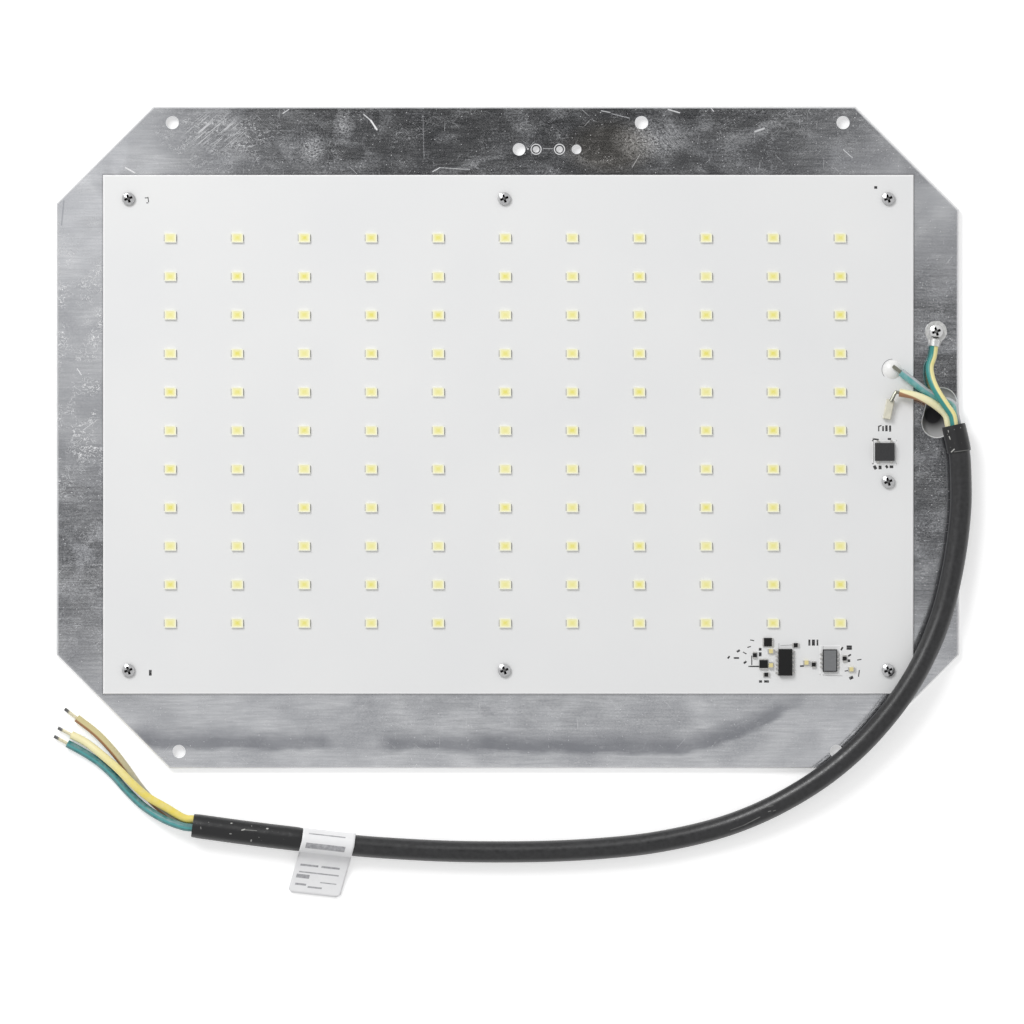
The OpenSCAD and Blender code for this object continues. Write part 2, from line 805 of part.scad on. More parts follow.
module chip_resistors() {
    color("black") {
        for (place = resistor_places)
            from_corner(place[0], place[1], place[2])
                chip_body(chip_l, chip_w, resistor_h);
        for (place = big_resistor_places)
            from_corner(place[0], place[1], place[2])
                chip_body(big_chip_l, big_chip_w, resistor_h);
    }
}

module chip_resistor_ends() {
    color("lightgray") {
        for (place = resistor_places)
            from_corner(place[0], place[1], place[2])
                chip_ends(chip_l, chip_w, resistor_h);
        for (place = big_resistor_places)
            from_corner(place[0], place[1], place[2])
                chip_ends(big_chip_l, big_chip_w, resistor_h);
    }
}

module chip_capacitors() {
    color("tan")
        for (place = capacitor_places)
            from_corner(place[0], place[1], place[2])
                chip_body(chip_l, chip_w, capacitor_h);
}

module chip_capacitor_ends() {
    color("lightgray")
        for (place = capacitor_places)
            from_corner(place[0], place[1], place[2])
                chip_ends(chip_l, chip_w, capacitor_h);
}

module neutral_joint() {
    dome_r = (joint_r * joint_r + joint_h * joint_h) / (2 * joint_h);
    color("whitesmoke")
        from_corner(joint_edge, joint_y + board_h / 2)
            intersection() {
                translate([0, 0, joint_h - dome_r])
                    sphere(dome_r);
                cylinder(r = joint_r + past, h = joint_h + past);
            }
}

module live_tab() {
    color("beige")
        from_corner(tab_edge, tab_y + board_h / 2, -tab_lean)
            eased_block(tab_w, tab_l, tab_h, tab_inset, tab_rise);
}

module ring_terminal() {
    barrel_from = earth_head_d / 2 + clear_play;
    tongue_w = tongue_share * ring_d;
    color("silver")
        translate([ring_x, ring_y, plate_t])
            rotate(-ring_turn)
                difference() {
                    union() {
                        cylinder(d = ring_d, h = ring_t);
                        linear_extrude(ring_t)
                            polygon([
                                [-tongue_w / 2, 0], [-barrel_d / 2, -barrel_reach],
                                [barrel_d / 2, -barrel_reach], [tongue_w / 2, 0]
                            ]);
                        translate([0, -barrel_from, barrel_d / 2])
                            rotate([90, 0, 0])
                                cylinder(d = barrel_d, h = barrel_reach - barrel_from);
                    }
                    translate([0, 0, -past])
                        cylinder(d = earth_screw_d + clear_play, h = ring_t + 2 * past);
                }
}

module earth_screw() {
    color("gainsboro")
        translate([ring_x, ring_y, plate_t + ring_t])
            pan_screw(earth_screw_d - screw_play, ring_t + screw_bite, earth_head_d, earth_head_h);
}

module earth_core() {
    color("yellow")
        cord(earth_route, core_d / 2, core_sides);
}

module neutral_core() {
    color("teal")
        cord(neutral_route, core_d / 2, core_sides);
}

module live_core() {
    color("peru")
        cord(live_route, core_d / 2, core_sides);
}

module neutral_conductor() {
    color("gray")
        cord(neutral_bare_route, conductor_d / 2, core_sides);
}

module live_conductor() {
    color("gray")
        cord(live_bare_route, conductor_d / 2, core_sides);
}

module cable_jacket() {
    color("#303030")
        cord(jacket_route, jacket_d / 2, jacket_sides);
}

module entry_sleeve() {
    color("#262626")
        sleeve(jacket_route, 0, 1, sleeve_in, sleeve_r, jacket_sides);
}

module tail_sleeve() {
    color("#262626")
        sleeve(jacket_route, sleeve_tail_first, jacket_last, sleeve_in, sleeve_r, jacket_sides);
}

module earth_tail() {
    color("yellow")
        cord(earth_tail_route, core_d / 2, core_sides);
}

module neutral_tail() {
    color("teal")
        cord(neutral_tail_route, core_d / 2, core_sides);
}

module live_tail() {
    color("peru")
        cord(live_tail_route, core_d / 2, core_sides);
}

// Bare end of a tail, straight on from its insulation
module bare_tip(route) {
    last = len(route) - 1;
    color("lightgray")
        cord([route[last], route[last] + tip_l * heading(route, last)], conductor_d / 2, core_sides);
}

module earth_tip() {
    bare_tip(earth_tail_route);
}

module neutral_tip() {
    bare_tip(neutral_tail_route);
}

module live_tip() {
    bare_tip(live_tail_route);
}

module cable_label() {
    right = jacket_route[label_first];
    left = jacket_route[label_first + 1];
    middle = (left + right) / 2;
    way = right - left;
    wrap_l = norm(way) - 2 * label_gap;
    color("white")
        translate([middle.x, middle.y, 0])
            rotate(atan2(way.y, way.x)) {
                translate([0, 0, middle.z])
                    rotate([0, 90, 0])
                        difference() {
                            cylinder(r = label_r, h = wrap_l, center = true);
                            cylinder(r = sleeve_in, h = wrap_l + past, center = true);
                        }
                translate([0, 0, middle.z - label_r - flag_sink])
                    linear_extrude(film_t)
                        polygon([
                            [-wrap_l / 2, 0], [wrap_l / 2, 0],
                            [wrap_l / 2 - flag_slant, flag_corner - flag_reach],
                            [wrap_l / 2 - flag_slant - flag_corner, -flag_reach],
                            [flag_corner - wrap_l / 2 - flag_slant, -flag_reach],
                            [-wrap_l / 2 - flag_slant, flag_corner - flag_reach]
                        ]);
            }
}

mounting_plate();
led_board();
led_terminals();
for (row = [1 : led_rows]) {
    led_housings(row);
    led_phosphor(row);
}
board_screws();
bridge_rectifier();
bridge_leads();
driver_chip();
driver_leads_pair();
power_transistor();
power_transistor_top();
power_leads_pair();
chip_resistors();
chip_resistor_ends();
chip_capacitors();
chip_capacitor_ends();
neutral_joint();
live_tab();
ring_terminal();
earth_screw();
earth_core();
neutral_core();
live_core();
neutral_conductor();
live_conductor();
cable_jacket();
entry_sleeve();
tail_sleeve();
earth_tail();
neutral_tail();
live_tail();
earth_tip();
neutral_tip();
live_tip();
cable_label();
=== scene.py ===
import math

import bpy
import numpy as np
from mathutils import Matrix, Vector


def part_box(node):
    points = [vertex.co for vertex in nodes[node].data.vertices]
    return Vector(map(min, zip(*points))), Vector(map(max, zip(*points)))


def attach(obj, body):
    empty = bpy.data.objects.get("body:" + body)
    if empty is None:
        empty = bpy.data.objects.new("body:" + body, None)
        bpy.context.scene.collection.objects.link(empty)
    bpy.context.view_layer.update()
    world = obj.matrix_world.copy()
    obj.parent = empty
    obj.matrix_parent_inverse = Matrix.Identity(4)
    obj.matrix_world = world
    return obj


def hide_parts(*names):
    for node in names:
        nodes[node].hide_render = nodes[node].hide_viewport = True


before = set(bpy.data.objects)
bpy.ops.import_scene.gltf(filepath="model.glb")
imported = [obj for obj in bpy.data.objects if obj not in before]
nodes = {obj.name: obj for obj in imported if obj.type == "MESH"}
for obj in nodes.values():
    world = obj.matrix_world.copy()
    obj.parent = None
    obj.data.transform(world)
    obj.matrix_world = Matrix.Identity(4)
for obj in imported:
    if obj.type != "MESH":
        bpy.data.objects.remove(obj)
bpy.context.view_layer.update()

# Mounting plate: mill-finished aluminium sheet, sheared to shape with cut corners, drilled and deburred.
# It lies on its back and carries everything else. Handling has left haze, specks and fine scratches.
MM = 0.001
PLATE_COLOUR = (0.84, 0.85, 0.875)
CLOUD_COLOUR = (0.58, 0.59, 0.62)
FOG_COLOUR = (0.93, 0.945, 0.97)
ROLLED_COLOUR = (0.5, 0.51, 0.54)
STAIN_COLOUR = (0.7, 0.62, 0.5)
# Dark colour of the painted reflection of the cable, and of one dark scratch.
REFLECTION_AND_SCRATCH_DARK = (0.34, 0.35, 0.38)
MARK_AND_HIGHLIGHT_COLOUR = (0.95, 0.95, 0.96)
CONTACT_SHADOW_COLOUR = (0.16, 0.16, 0.17)
# Dark colour painted on the pilot countersinks as their shade.
COUNTERSINK_SHADE_COLOUR = (0.1, 0.1, 0.105)
RIM_TONE = 0.97
SHEARED_COLOURS = (0.3, 0.31, 0.33), (0.58, 0.59, 0.61)
SMOOTHEST = 0.11
PLATE_BOW = 0.35
WAVE_H = 0.06 * MM
FOG_H = 0.0006 * MM
MARK_DEPTH = 0.004 * MM


def new_finish(name, colour, roughness, **sockets):
    """Material with one Principled shader; other sockets are set by name, with _ for a space."""
    made = bpy.data.materials.new(name)
    made.use_nodes = True
    shader = made.node_tree.nodes["Principled BSDF"]
    shader.inputs["Base Color"].default_value = (*np.broadcast_to(colour, 3), 1.0)
    shader.inputs["Roughness"].default_value = roughness
    for socket, value in sockets.items():
        shader.inputs[socket.replace("_", " ")].default_value = value
    return made


def add_node(finish, kind, feeds, **fields):
    """New node with its own fields set; feeds gives its inputs by name or number, as values or sockets."""
    made = finish.node_tree.nodes.new("ShaderNode" + kind)
    for field, value in fields.items():
        setattr(made, field, value)
    for socket, value in feeds.items():
        if isinstance(value, bpy.types.NodeSocket):
            finish.node_tree.links.new(value, made.inputs[socket])
        else:
            made.inputs[socket].default_value = value
    return made


def feed(finish, socket, source):
    """Links a source to a socket of the finish's shader."""
    finish.node_tree.links.new(source, finish.node_tree.nodes["Principled BSDF"].inputs[socket])


def place_on(finish):
    """Object coordinates: where a point of the piece lies in the frame, in metres."""
    return add_node(finish, "TexCoord", {}).outputs["Object"]


def split(finish, vector):
    """The x, y and z of a vector."""
    return add_node(finish, "SeparateXYZ", {0: vector}).outputs


def vectors(finish, operation, *inputs):
    """One operation on up to three vectors. A length, a distance and a dot product are numbers."""
    made = add_node(finish, "VectorMath", dict(enumerate(inputs)), operation=operation)
    return made.outputs["Value" if operation in ("LENGTH", "DISTANCE", "DOT_PRODUCT") else "Vector"]


def maths(finish, operation, first, *others):
    """One operation on a number, or on several numbers in turn from the left."""
    for other in others or (0.0,):
        first = add_node(finish, "Math", {0: first, 1: other}, operation=operation).outputs[0]
    return first


def times(finish, *numbers):
    """Product of some numbers."""
    return maths(finish, "MULTIPLY", *numbers)


def largest(finish, *numbers):
    """The largest of some numbers."""
    return maths(finish, "MAXIMUM", *numbers)


def grain(finish, size, turn=0.0, detail=2.0, shift=0.0, warp=0.0):
    """Noise from 0 to 1; size is its length, width and height in millimetres, or one number for all."""
    settings = {"Vector": place_on(finish), "Location": (shift, shift, 0), "Rotation": (0, 0, turn)}
    settings["Scale"] = np.broadcast_to(size, 3) * MM
    mapped = add_node(finish, "Mapping", settings, vector_type="TEXTURE").outputs["Vector"]
    settings = {"Vector": mapped, "Scale": 1.0, "Detail": detail, "Distortion": warp}
    return add_node(finish, "TexNoise", settings).outputs["Fac"]


def ramp(finish, source, low, high, start=0.0, end=1.0):
    """Straight line from start, where the source is low or less, to end, where it is high or more."""
    settings = {"Value": source, "From Min": low, "From Max": high, "To Min": start, "To Max": end}
    return add_node(finish, "MapRange", settings).outputs["Result"]


def mix(finish, factor, *colours):
    """Colour that goes from the first at factor 0 to the second at factor 1. One number is a grey."""
    ends = [c if isinstance(c, bpy.types.NodeSocket) else (*np.broadcast_to(c, 3), 1.0) for c in colours]
    return add_node(finish, "Mix", {0: factor, 6: ends[0], 7: ends[1]}, data_type="RGBA").outputs[2]


def paint(finish, factor, *colours):
    """Gives the shader a colour mixed from two."""
    feed(finish, "Base Color", mix(finish, factor, *colours))


def bump(finish, height, depth):
    """Bends the shader's normals as a relief of that depth in metres would."""
    made = add_node(finish, "Bump", {"Height": height, "Distance": depth, "Strength": 1.0})
    feed(finish, "Normal", made.outputs["Normal"])


def dress(finish, *names):
    """Gives a finish to CAD nodes."""
    for name in names:
        nodes[name].data.materials.clear()
        nodes[name].data.materials.append(finish)


def line_mark(finish, start, end, half, strength):
    """Mark along a straight line seen from above: at its strength up to half its half width, 0 at all of it.

    Past that the value goes on below 0, so the mark is taken as the larger of itself and what is there.
    """
    flat = vectors(finish, "MULTIPLY", place_on(finish), (1, 1, 0))
    first = np.array([*start, 0]) * MM
    way = np.array([*end, 0]) * MM - first
    moved = vectors(finish, "SUBTRACT", flat, first)
    share = vectors(finish, "DOT_PRODUCT", moved, way / (way @ way))
    share = largest(finish, maths(finish, "MINIMUM", share, 1.0), 0.0)
    nearest = add_node(finish, "VectorMath", {0: way, "Scale": share}, operation="SCALE").outputs[0]
    away = vectors(finish, "DISTANCE", moved, nearest)
    fading = times(finish, away, -2 * strength / (half * MM))
    return maths(finish, "MINIMUM", maths(finish, "ADD", fading, 2 * strength), strength)


def add_lines(finish, marks, lines):
    """The largest of the marks so far and of a mark along each line."""
    for line in lines:
        marks = largest(finish, marks, line_mark(finish, *line))
    return marks


def outward_from(finish, middle, reach):
    """How far out a point is from a patch's middle: 0 there, 1 on an ellipsoid of those half sizes."""
    offset = vectors(finish, "SUBTRACT", place_on(finish), middle)
    return vectors(finish, "LENGTH", vectors(finish, "DIVIDE", offset, reach))


def patch(finish, middle, reach, strength, edge):
    """Round patch in millimetres: its strength falls to 0 between the two shares of its size in edge."""
    outward = outward_from(finish, np.array([*middle, 0]) * MM, np.array([*reach, PATCH_H]) * MM)
    return ramp(finish, outward, *edge, strength, 0.0)


def larger_side(finish, vector):
    """The larger of a vector's x and y."""
    x, y = split(finish, vector)[:2]
    return largest(finish, x, y)


def past_box(finish, low, high):
    """How far a point lies past the sides of a box seen from above, in metres; it is below 0 inside."""
    offset = vectors(finish, "SUBTRACT", place_on(finish), tuple((low + high) / 2))
    offset = vectors(finish, "ABSOLUTE", offset)
    return larger_side(finish, vectors(finish, "SUBTRACT", offset, tuple((high - low) / 2)))


def level_share(finish):
    """How level a face lies: 1 on the top and the back, 0 on an upright wall."""
    normal = add_node(finish, "NewGeometry", {}).outputs["True Normal"]
    return maths(finish, "ABSOLUTE", split(finish, normal)[2])


SCRATCH_TURNS = (0.06, 0.85, 1.52, 2.4)
SCRATCH_SIZE = (8, 0.2, 8)
SCRATCH_SHIFT = 0.37
DEEP_SCRATCHES = (
    # ends of each scratch from the middle of the plate and its half width in millimetres, and its strength
    ((-43.0, 96.4), (-40.9, 94.6), 0.22, 0.6), ((-40.9, 94.6), (-39.1, 91.9), 0.3, 1.0),
    ((-67.2, 96.7), (-65.4, 97.9), 0.16, 0.6), ((-114.2, 80.5), (-111.5, 79.0), 0.28, 0.9),
    ((-22.4, 79.3), (-20.3, 80.5), 0.18, 0.6), ((-20.3, 80.5), (-11.3, 79.9), 0.14, 0.35),
    ((-25.3, 96.4), (-25.0, 83.0), 0.14, 0.15), ((74.0, 91.3), (76.6, 92.2), 0.35, 0.5),
    ((100.3, 85.9), (103.0, 83.5), 0.14, 0.6), ((-126.7, 2.2), (-122.6, 5.2), 0.14, 0.5),
    ((61.5, 97.4), (59.9, 99.4), 0.2, 0.6), ((-128.6, 20.4), (-127.4, 18.6), 0.2, 0.8),
    ((28.0, 97.5), (30.6, 97.0), 0.2, 0.4), ((31.2, 96.6), (36.4, 95.3), 0.16, 0.3),
    ((48.0, 97.9), (51.4, 96.9), 0.22, 0.6), ((39.5, 84.4), (37.2, 80.6), 0.14, 0.3),
    ((10.6, 86.2), (13.6, 86.2), 0.16, 0.25), ((6.0, 86.1), (6.1, 86.1), 0.3, 0.6),
)
DARK_SCRATCH = ((-132.6, 70.6), (-133.3, 63.4), 0.3, 0.5)
FEW_CURLS = 0.15
SCUFFS = (
    # middle and half sizes in millimetres of each patch of curled scuffs, and its strength
    ((-128, 22), (30, 46), 1.0), ((-89, 89), (26, 13), 0.45),
)
HATCHES = (
    # the same of each patch of fine strokes, and their turn in radians
    ((-88.5, 91.5), (11, 6.5), 0.5, 0.7), ((46, 89.5), (8, 7), 0.25, -0.9),
)
STROKE_SIZE = (7, 0.26, 7)
RUBS = (
    # the same of each patch rubbed dull
    ((-58.5, 86.2), (4.5, 5), 0.5), ((-49.3, 92.5), (3, 5), 0.4), ((42.5, 88.9), (11, 7), 0.45),
)
STAIN = ((30.6, 86.5), (14, 9), 0.4)
PATCH_H = 10
PILOTS = ((8.5 * MM, 86 * MM, 0.0), (15.5 * MM, 86 * MM, 0.0))
PILOT_RIM = (1.4 * MM, 1.4 * MM, 1.0)
CONTACT_SHADOW_SPAN = (0.1 * MM, 0.6 * MM)
CORNER_CUTS = (29, 31, 34, 34)  # clockwise from the top left
# Strengths of the painted highlight along each edge, brighter on the top and left than on the bottom and
# right.
EDGE_HIGHLIGHTS = (0.9, 0.9, 0.7, 0.3, 0.2, 0.2, 0.6, 0.9)  # clockwise from the top edge
EDGE_HIGHLIGHT_W = 0.9
# Course and fading of a dark band across the plate's lower part, a painted reflection of the cable.
STREAK_Y = -92.7 * MM
STREAK_SLOPE = -0.012
STREAK_WANDER = 0.8 * MM
STREAK_TURN_X = 45 * MM
STREAK_RISE = 8.5
STREAK_FADE = 5.5 * MM
STREAK_EDGE = 2.2 * MM
STREAK_END_X = 92 * MM
STREAK_END_FADE = 12 * MM
STREAK_GAP_X = -45 * MM
STREAK_GAP = 10 * MM

plate = new_finish("plate_aluminium", PLATE_COLOUR, 0.2, Metallic=1.0)
plate_x, plate_y = split(plate, place_on(plate))[:2]
haze = ramp(plate, grain(plate, (18, 12, 12), detail=7.0, warp=1.2), 0.48, 0.75)
fog = ramp(plate, grain(plate, (0.6, 0.45, 1), detail=4.0, warp=0.6), 0.35, 0.75)
rolled = ramp(plate, grain(plate, (9, 0.7, 1), detail=5.0, warp=0.3), 0.35, 0.65)
scratches = 0.0
for number, turn in enumerate(SCRATCH_TURNS):
    lines = grain(plate, SCRATCH_SIZE, turn, detail=1.0, shift=SCRATCH_SHIFT * number, warp=0.2)
    scratches = largest(plate, scratches, ramp(plate, lines, 0.77, 0.83, 0.0, 0.55))
scratches = add_lines(plate, scratches, DEEP_SCRATCHES)
curls = grain(plate, (2.6, 1.8, 2), shift=5.0, warp=1.6)
curls = maths(plate, "ABSOLUTE", maths(plate, "SUBTRACT", curls, 0.5))
curls = ramp(plate, curls, 0.008, 0.028, 1.0, 0.0)
broken = ramp(plate, grain(plate, 6, detail=3.0, shift=7.0), 0.44, 0.62)
scuffed = FEW_CURLS
for scuff in SCUFFS:
    scuffed = largest(plate, scuffed, patch(plate, *scuff, (0.5, 1.1)))
curls = times(plate, curls, times(plate, scuffed, broken))
specks = ramp(plate, grain(plate, (0.5, 0.4, 1), detail=0.0, shift=2.0), 0.79, 0.85, 0.0, 0.7)
marks = largest(plate, scratches, specks, curls)
for *hatch, turn in HATCHES:
    strokes = ramp(plate, grain(plate, STROKE_SIZE, turn, detail=0.0, shift=9.0), 0.55, 0.7)
    strokes = times(plate, strokes, patch(plate, *hatch, (0.4, 1.1)))
    marks = largest(plate, marks, strokes)
for rub in RUBS:
    rubbed = patch(plate, *rub, (0.2, 1.15))
    marks = largest(plate, marks, times(plate, fog, rubbed))
# Round each pilot hole the cone of its countersink is painted dark as shade, and a light ring just outside
# it is a painted highlight on its outer edge.
countersink_shade = 0.0
for middle in PILOTS:
    outward = outward_from(plate, middle, PILOT_RIM)
    countersink_highlight = ramp(plate, outward, 0.95, 1.0)
    countersink_highlight = times(plate, countersink_highlight, ramp(plate, outward, 1.12, 1.2, 0.8, 0.0))
    marks = largest(plate, marks, countersink_highlight)
    countersink_shade = largest(plate, countersink_shade, ramp(plate, outward, 0.95, 1.0, 1.0, 0.0))
right, top = (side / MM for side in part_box("mounting_plate")[1][:2])
top_left, top_right, low_right, low_left = CORNER_CUTS
outline = [
    (top_left - right, top), (right - top_right, top), (right, top - top_right), (right, low_right - top),
    (right - low_right, -top), (low_left - right, -top), (-right, low_left - top), (-right, top - top_left),
]
# Painted highlights along the edges of the outline join the marks.
for start, end, strength in zip(outline, outline[1:] + outline[:1], EDGE_HIGHLIGHTS):
    marks = add_lines(plate, marks, [(start, end, EDGE_HIGHLIGHT_W, strength)])
clouded = times(plate, haze, ramp(plate, fog, 0.0, 1.0, 0.05, 0.16))
rough = maths(plate, "ADD", clouded, SMOOTHEST)
for part, most in ((rolled, 0.02), (fog, 0.04), (marks, 0.4)):
    rough = maths(plate, "ADD", rough, ramp(plate, part, 0.0, 1.0, 0.0, most))
cloud = grain(plate, (17, 12, 15), detail=6.0, shift=1.0, warp=0.5)
tone = mix(plate, ramp(plate, cloud, 0.35, 0.65), CLOUD_COLOUR, PLATE_COLOUR)
tone = mix(plate, ramp(plate, fog, 0.0, 1.0, 0.0, 0.45), tone, FOG_COLOUR)
tone = mix(plate, ramp(plate, rolled, 0.0, 1.0, 0.42, 0.0), tone, ROLLED_COLOUR)
tone = mix(plate, patch(plate, *STAIN, (0.6, 1.1)), tone, STAIN_COLOUR)
# Painted reflection of the cable: a dark band laid along a wandering course that rises at the right, fades
# at its end and thins in a gap.
turned = largest(plate, maths(plate, "SUBTRACT", plate_x, STREAK_TURN_X), 0.0)
rise = times(plate, turned, turned, STREAK_RISE)
wander = grain(plate, (10, 3, 5), detail=5.0, shift=8.0)
wander = ramp(plate, wander, 0.3, 0.7, -STREAK_WANDER, STREAK_WANDER)
course = maths(plate, "ADD", times(plate, plate_x, STREAK_SLOPE), rise, wander)
above = maths(plate, "SUBTRACT", plate_y, STREAK_Y, course)
painted_cable_reflection = ramp(plate, above, -STREAK_EDGE, 0.0)
painted_cable_reflection = times(plate, painted_cable_reflection, ramp(plate, above, 0.0, STREAK_FADE, 1.3, 0.0))
painted_cable_reflection = maths(plate, "MINIMUM", painted_cable_reflection, 1.0)
painted_cable_reflection = times(plate, painted_cable_reflection, ramp(plate, cloud, 0.3, 0.7, 1.0, 0.75))
past_gap = maths(plate, "ABSOLUTE", maths(plate, "SUBTRACT", plate_x, STREAK_GAP_X))
stretch = ramp(plate, past_gap, 0.5 * STREAK_GAP, STREAK_GAP, 0.15, 1.0)
ending = ramp(plate, plate_x, STREAK_END_X - STREAK_END_FADE, STREAK_END_X, 1.0, 0.0)
painted_cable_reflection = times(plate, painted_cable_reflection, times(plate, stretch, ending))
tone = mix(plate, painted_cable_reflection, tone, REFLECTION_AND_SCRATCH_DARK)
tone = mix(plate, add_lines(plate, 0.0, [DARK_SCRATCH]), tone, REFLECTION_AND_SCRATCH_DARK)
# Marks, and the painted highlights along the edges and round the pilot holes, take one light colour.
tone = mix(plate, marks, tone, MARK_AND_HIGHLIGHT_COLOUR)
board_low, board_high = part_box("led_board")
beside = past_box(plate, board_low, board_high)
# A thin painted shadow on the plate along the board's edges, where the board meets it.
tone = mix(plate, ramp(plate, beside, *CONTACT_SHADOW_SPAN, 0.55, 0.0), tone, CONTACT_SHADOW_COLOUR)
level = level_share(plate)
rim = ramp(plate, level, 0.3, 0.5)
rim = times(plate, rim, ramp(plate, level, 0.9, 0.97, 1.0, 0.0))
sheared = ramp(plate, level, 0.1, 0.3, 1.0, 0.0)
drag = grain(plate, (0.3, 0.3, 4), detail=4.0, shift=4.0)
cut = mix(plate, ramp(plate, drag, 0.3, 0.7), *SHEARED_COLOURS)
# Chamfers take the rim tone, and the pilot countersinks take the painted shade.
rim_and_countersink_shade = mix(plate, countersink_shade, RIM_TONE, COUNTERSINK_SHADE_COLOUR)
paint(plate, sheared, mix(plate, rim, tone, rim_and_countersink_shade), cut)
rough = largest(plate, rough, times(plate, rim, 0.5))
feed(plate, "Roughness", largest(plate, rough, times(plate, sheared, 0.45)))
torn = largest(plate, rim, marks)
feed(plate, "Metallic", ramp(plate, torn, 0.0, 1.0, 1.0, 0.2))
away = vectors(plate, "LENGTH", place_on(plate))
bow = times(plate, away, away, -PLATE_BOW)
waves = times(plate, grain(plate, (26, 18, 20), detail=1.0, shift=3.0), WAVE_H)
pits = times(plate, marks, -MARK_DEPTH)
relief = maths(plate, "ADD", pits, times(plate, fog, FOG_H))
bump(plate, maths(plate, "ADD", bow, maths(plate, "ADD", waves, relief)), 1.0)
dress(plate, "mounting_plate")

# LED board: aluminium-core circuit board under white satin solder mask, scored and snapped out of a larger
# sheet. It lies flat on the plate, held by its screws.
BOARD_COLOUR = (0.84, 0.845, 0.845)
MASK_COLOURS = (0.815, 0.82, 0.825), (0.845, 0.848, 0.847)
CORE_COLOURS = (0.36, 0.37, 0.38), (0.62, 0.63, 0.65)
BOARD_EDGE_HIGHLIGHT = 0.95
BOARD_EDGE = 0.6 * MM
MASK_T = 0.16 * MM
board_top = board_high.z
board = new_finish("board_solder_mask", BOARD_COLOUR, 0.42)
cloud = grain(board, 45, detail=3.0)
face = mix(board, ramp(board, cloud, 0.3, 0.7), *MASK_COLOURS)
# A painted highlight along the board's edges: the mask turns near white within BOARD_EDGE of them.
edge = ramp(board, past_box(board, board_low, board_high), -BOARD_EDGE, -BOARD_EDGE / 3)
mask_and_edge_highlight = mix(board, edge, face, BOARD_EDGE_HIGHLIGHT)
height = split(board, place_on(board))[2]
below = ramp(board, height, board_top - 1.2 * MASK_T, board_top - MASK_T, 1.0, 0.0)
core = times(board, below, ramp(board, level_share(board), 0.1, 0.3, 1.0, 0.0))
snapped = grain(board, 0.4, detail=5.0, shift=4.0)
snapped = mix(board, ramp(board, snapped, 0.3, 0.7), *CORE_COLOURS)
paint(board, core, mask_and_edge_highlight, snapped)
feed(board, "Metallic", times(board, core, 0.9))
peel = grain(board, 0.5)
feed(board, "Roughness", ramp(board, peel, 0.2, 0.8, 0.36, 0.5))
bump(board, peel, 0.004 * MM)
dress(board, "led_board")

# Board print: outlines, ticks and bars of black, grey and white ink, screen-printed on the solder mask round
# the driver parts and the wire joints. The bars are plain: they stand where a real board has lettering.
INK_T = 0.02 * MM
BLACK_MARKS = np.array([
    # x, y, length and width in millimetres and turn in degrees, all from the middle of the plate
    [109.9, 74.5, 0.9, 0.8, 0], [-107.9, 71.4, 0.9, 0.25, 0], [-107.3, 70.9, 0.25, 1.6, 8],
    [-107.6, 69.9, 0.6, 0.25, 0], [-106.7, -70.4, 0.8, 1.7, 0], [110.8, 2.5, 0.35, 1.6, 0],
    [111.2, 3.3, 0.9, 0.35, 20], [112.1, 2.5, 0.5, 1.5, 0], [113.1, 2.6, 0.7, 1.8, 0],
    [114.2, 2.5, 0.6, 1.8, 0], [109.9, -0.7, 1.8, 0.5, -8], [114.0, -0.6, 1.0, 0.6, 0],
    [109.7, -9.1, 0.9, 1.2, 30], [111.2, -9.1, 0.9, 1.1, 0], [113.2, -8.9, 0.7, 0.9, 35],
    [114.6, -8.9, 1.1, 0.8, 0], [66.0, -65.8, 0.9, 0.5, 50], [68.3, -66.0, 1.6, 0.5, 0],
    [68.9, -63.9, 1.0, 0.6, 30], [70.8, -64.5, 1.2, 0.3, -30], [72.1, -62.7, 1.1, 0.3, 15],
    [70.9, -67.3, 1.0, 0.6, 40], [72.9, -66.7, 0.3, 2.8, 0], [73.5, -68.5, 3.2, 0.4, 0],
    [75.4, -63.4, 0.8, 0.8, 0], [75.4, -64.9, 0.8, 1.2, 0], [73.0, -60.7, 1.2, 0.3, -10],
    [75.5, -73.0, 0.9, 0.7, 0], [77.3, -73.0, 1.4, 0.7, 0], [90.1, -61.4, 0.6, 1.8, 0],
    [91.3, -61.4, 0.9, 1.8, 0], [92.5, -61.4, 0.5, 1.8, 0], [87.9, -68.4, 1.2, 0.5, 0],
    [99.8, -63.2, 1.1, 0.5, 60], [102.0, -62.9, 1.6, 1.3, 0], [102.1, -65.2, 1.0, 0.5, 35],
    [101.9, -66.8, 0.8, 0.8, 0], [105.0, -66.5, 1.3, 0.3, 12], [101.4, -69.8, 1.6, 0.3, 8],
    [102.6, -71.9, 1.2, 0.9, 25], [104.9, -70.6, 0.3, 2.0, -8],
])
GREY_MARKS = np.array([
    [109.2, -4.4, 0.12, 7.4, 0], [81.0, -66.0, 0.12, 8.8, 0], [83.2, -62.2, 3.6, 0.12, 4],
    [94.2, -66.3, 0.12, 8.0, 0], [97.0, -71.2, 6.0, 0.12, -3],
])
WHITE_MARKS = np.array([
    [112.5, -1.1, 7.4, 0.35, 0], [112.5, -8.0, 7.4, 0.35, 0], [109.0, -4.5, 0.35, 7.2, 0],
    [116.2, -4.5, 0.35, 7.2, 0], [96.2, -62.3, 6.2, 0.35, 0], [96.2, -71.0, 6.2, 0.35, 0],
    [93.3, -66.7, 0.35, 8.6, 0], [99.4, -66.7, 0.35, 8.6, 0],
])
ARC_TURNS = np.radians(np.arange(95, 225, 10))
ARC_MIDDLE, ARC_R = (114.9, 20.1), 3.15
ARC_STEP, ARC_W = 0.56, 0.16


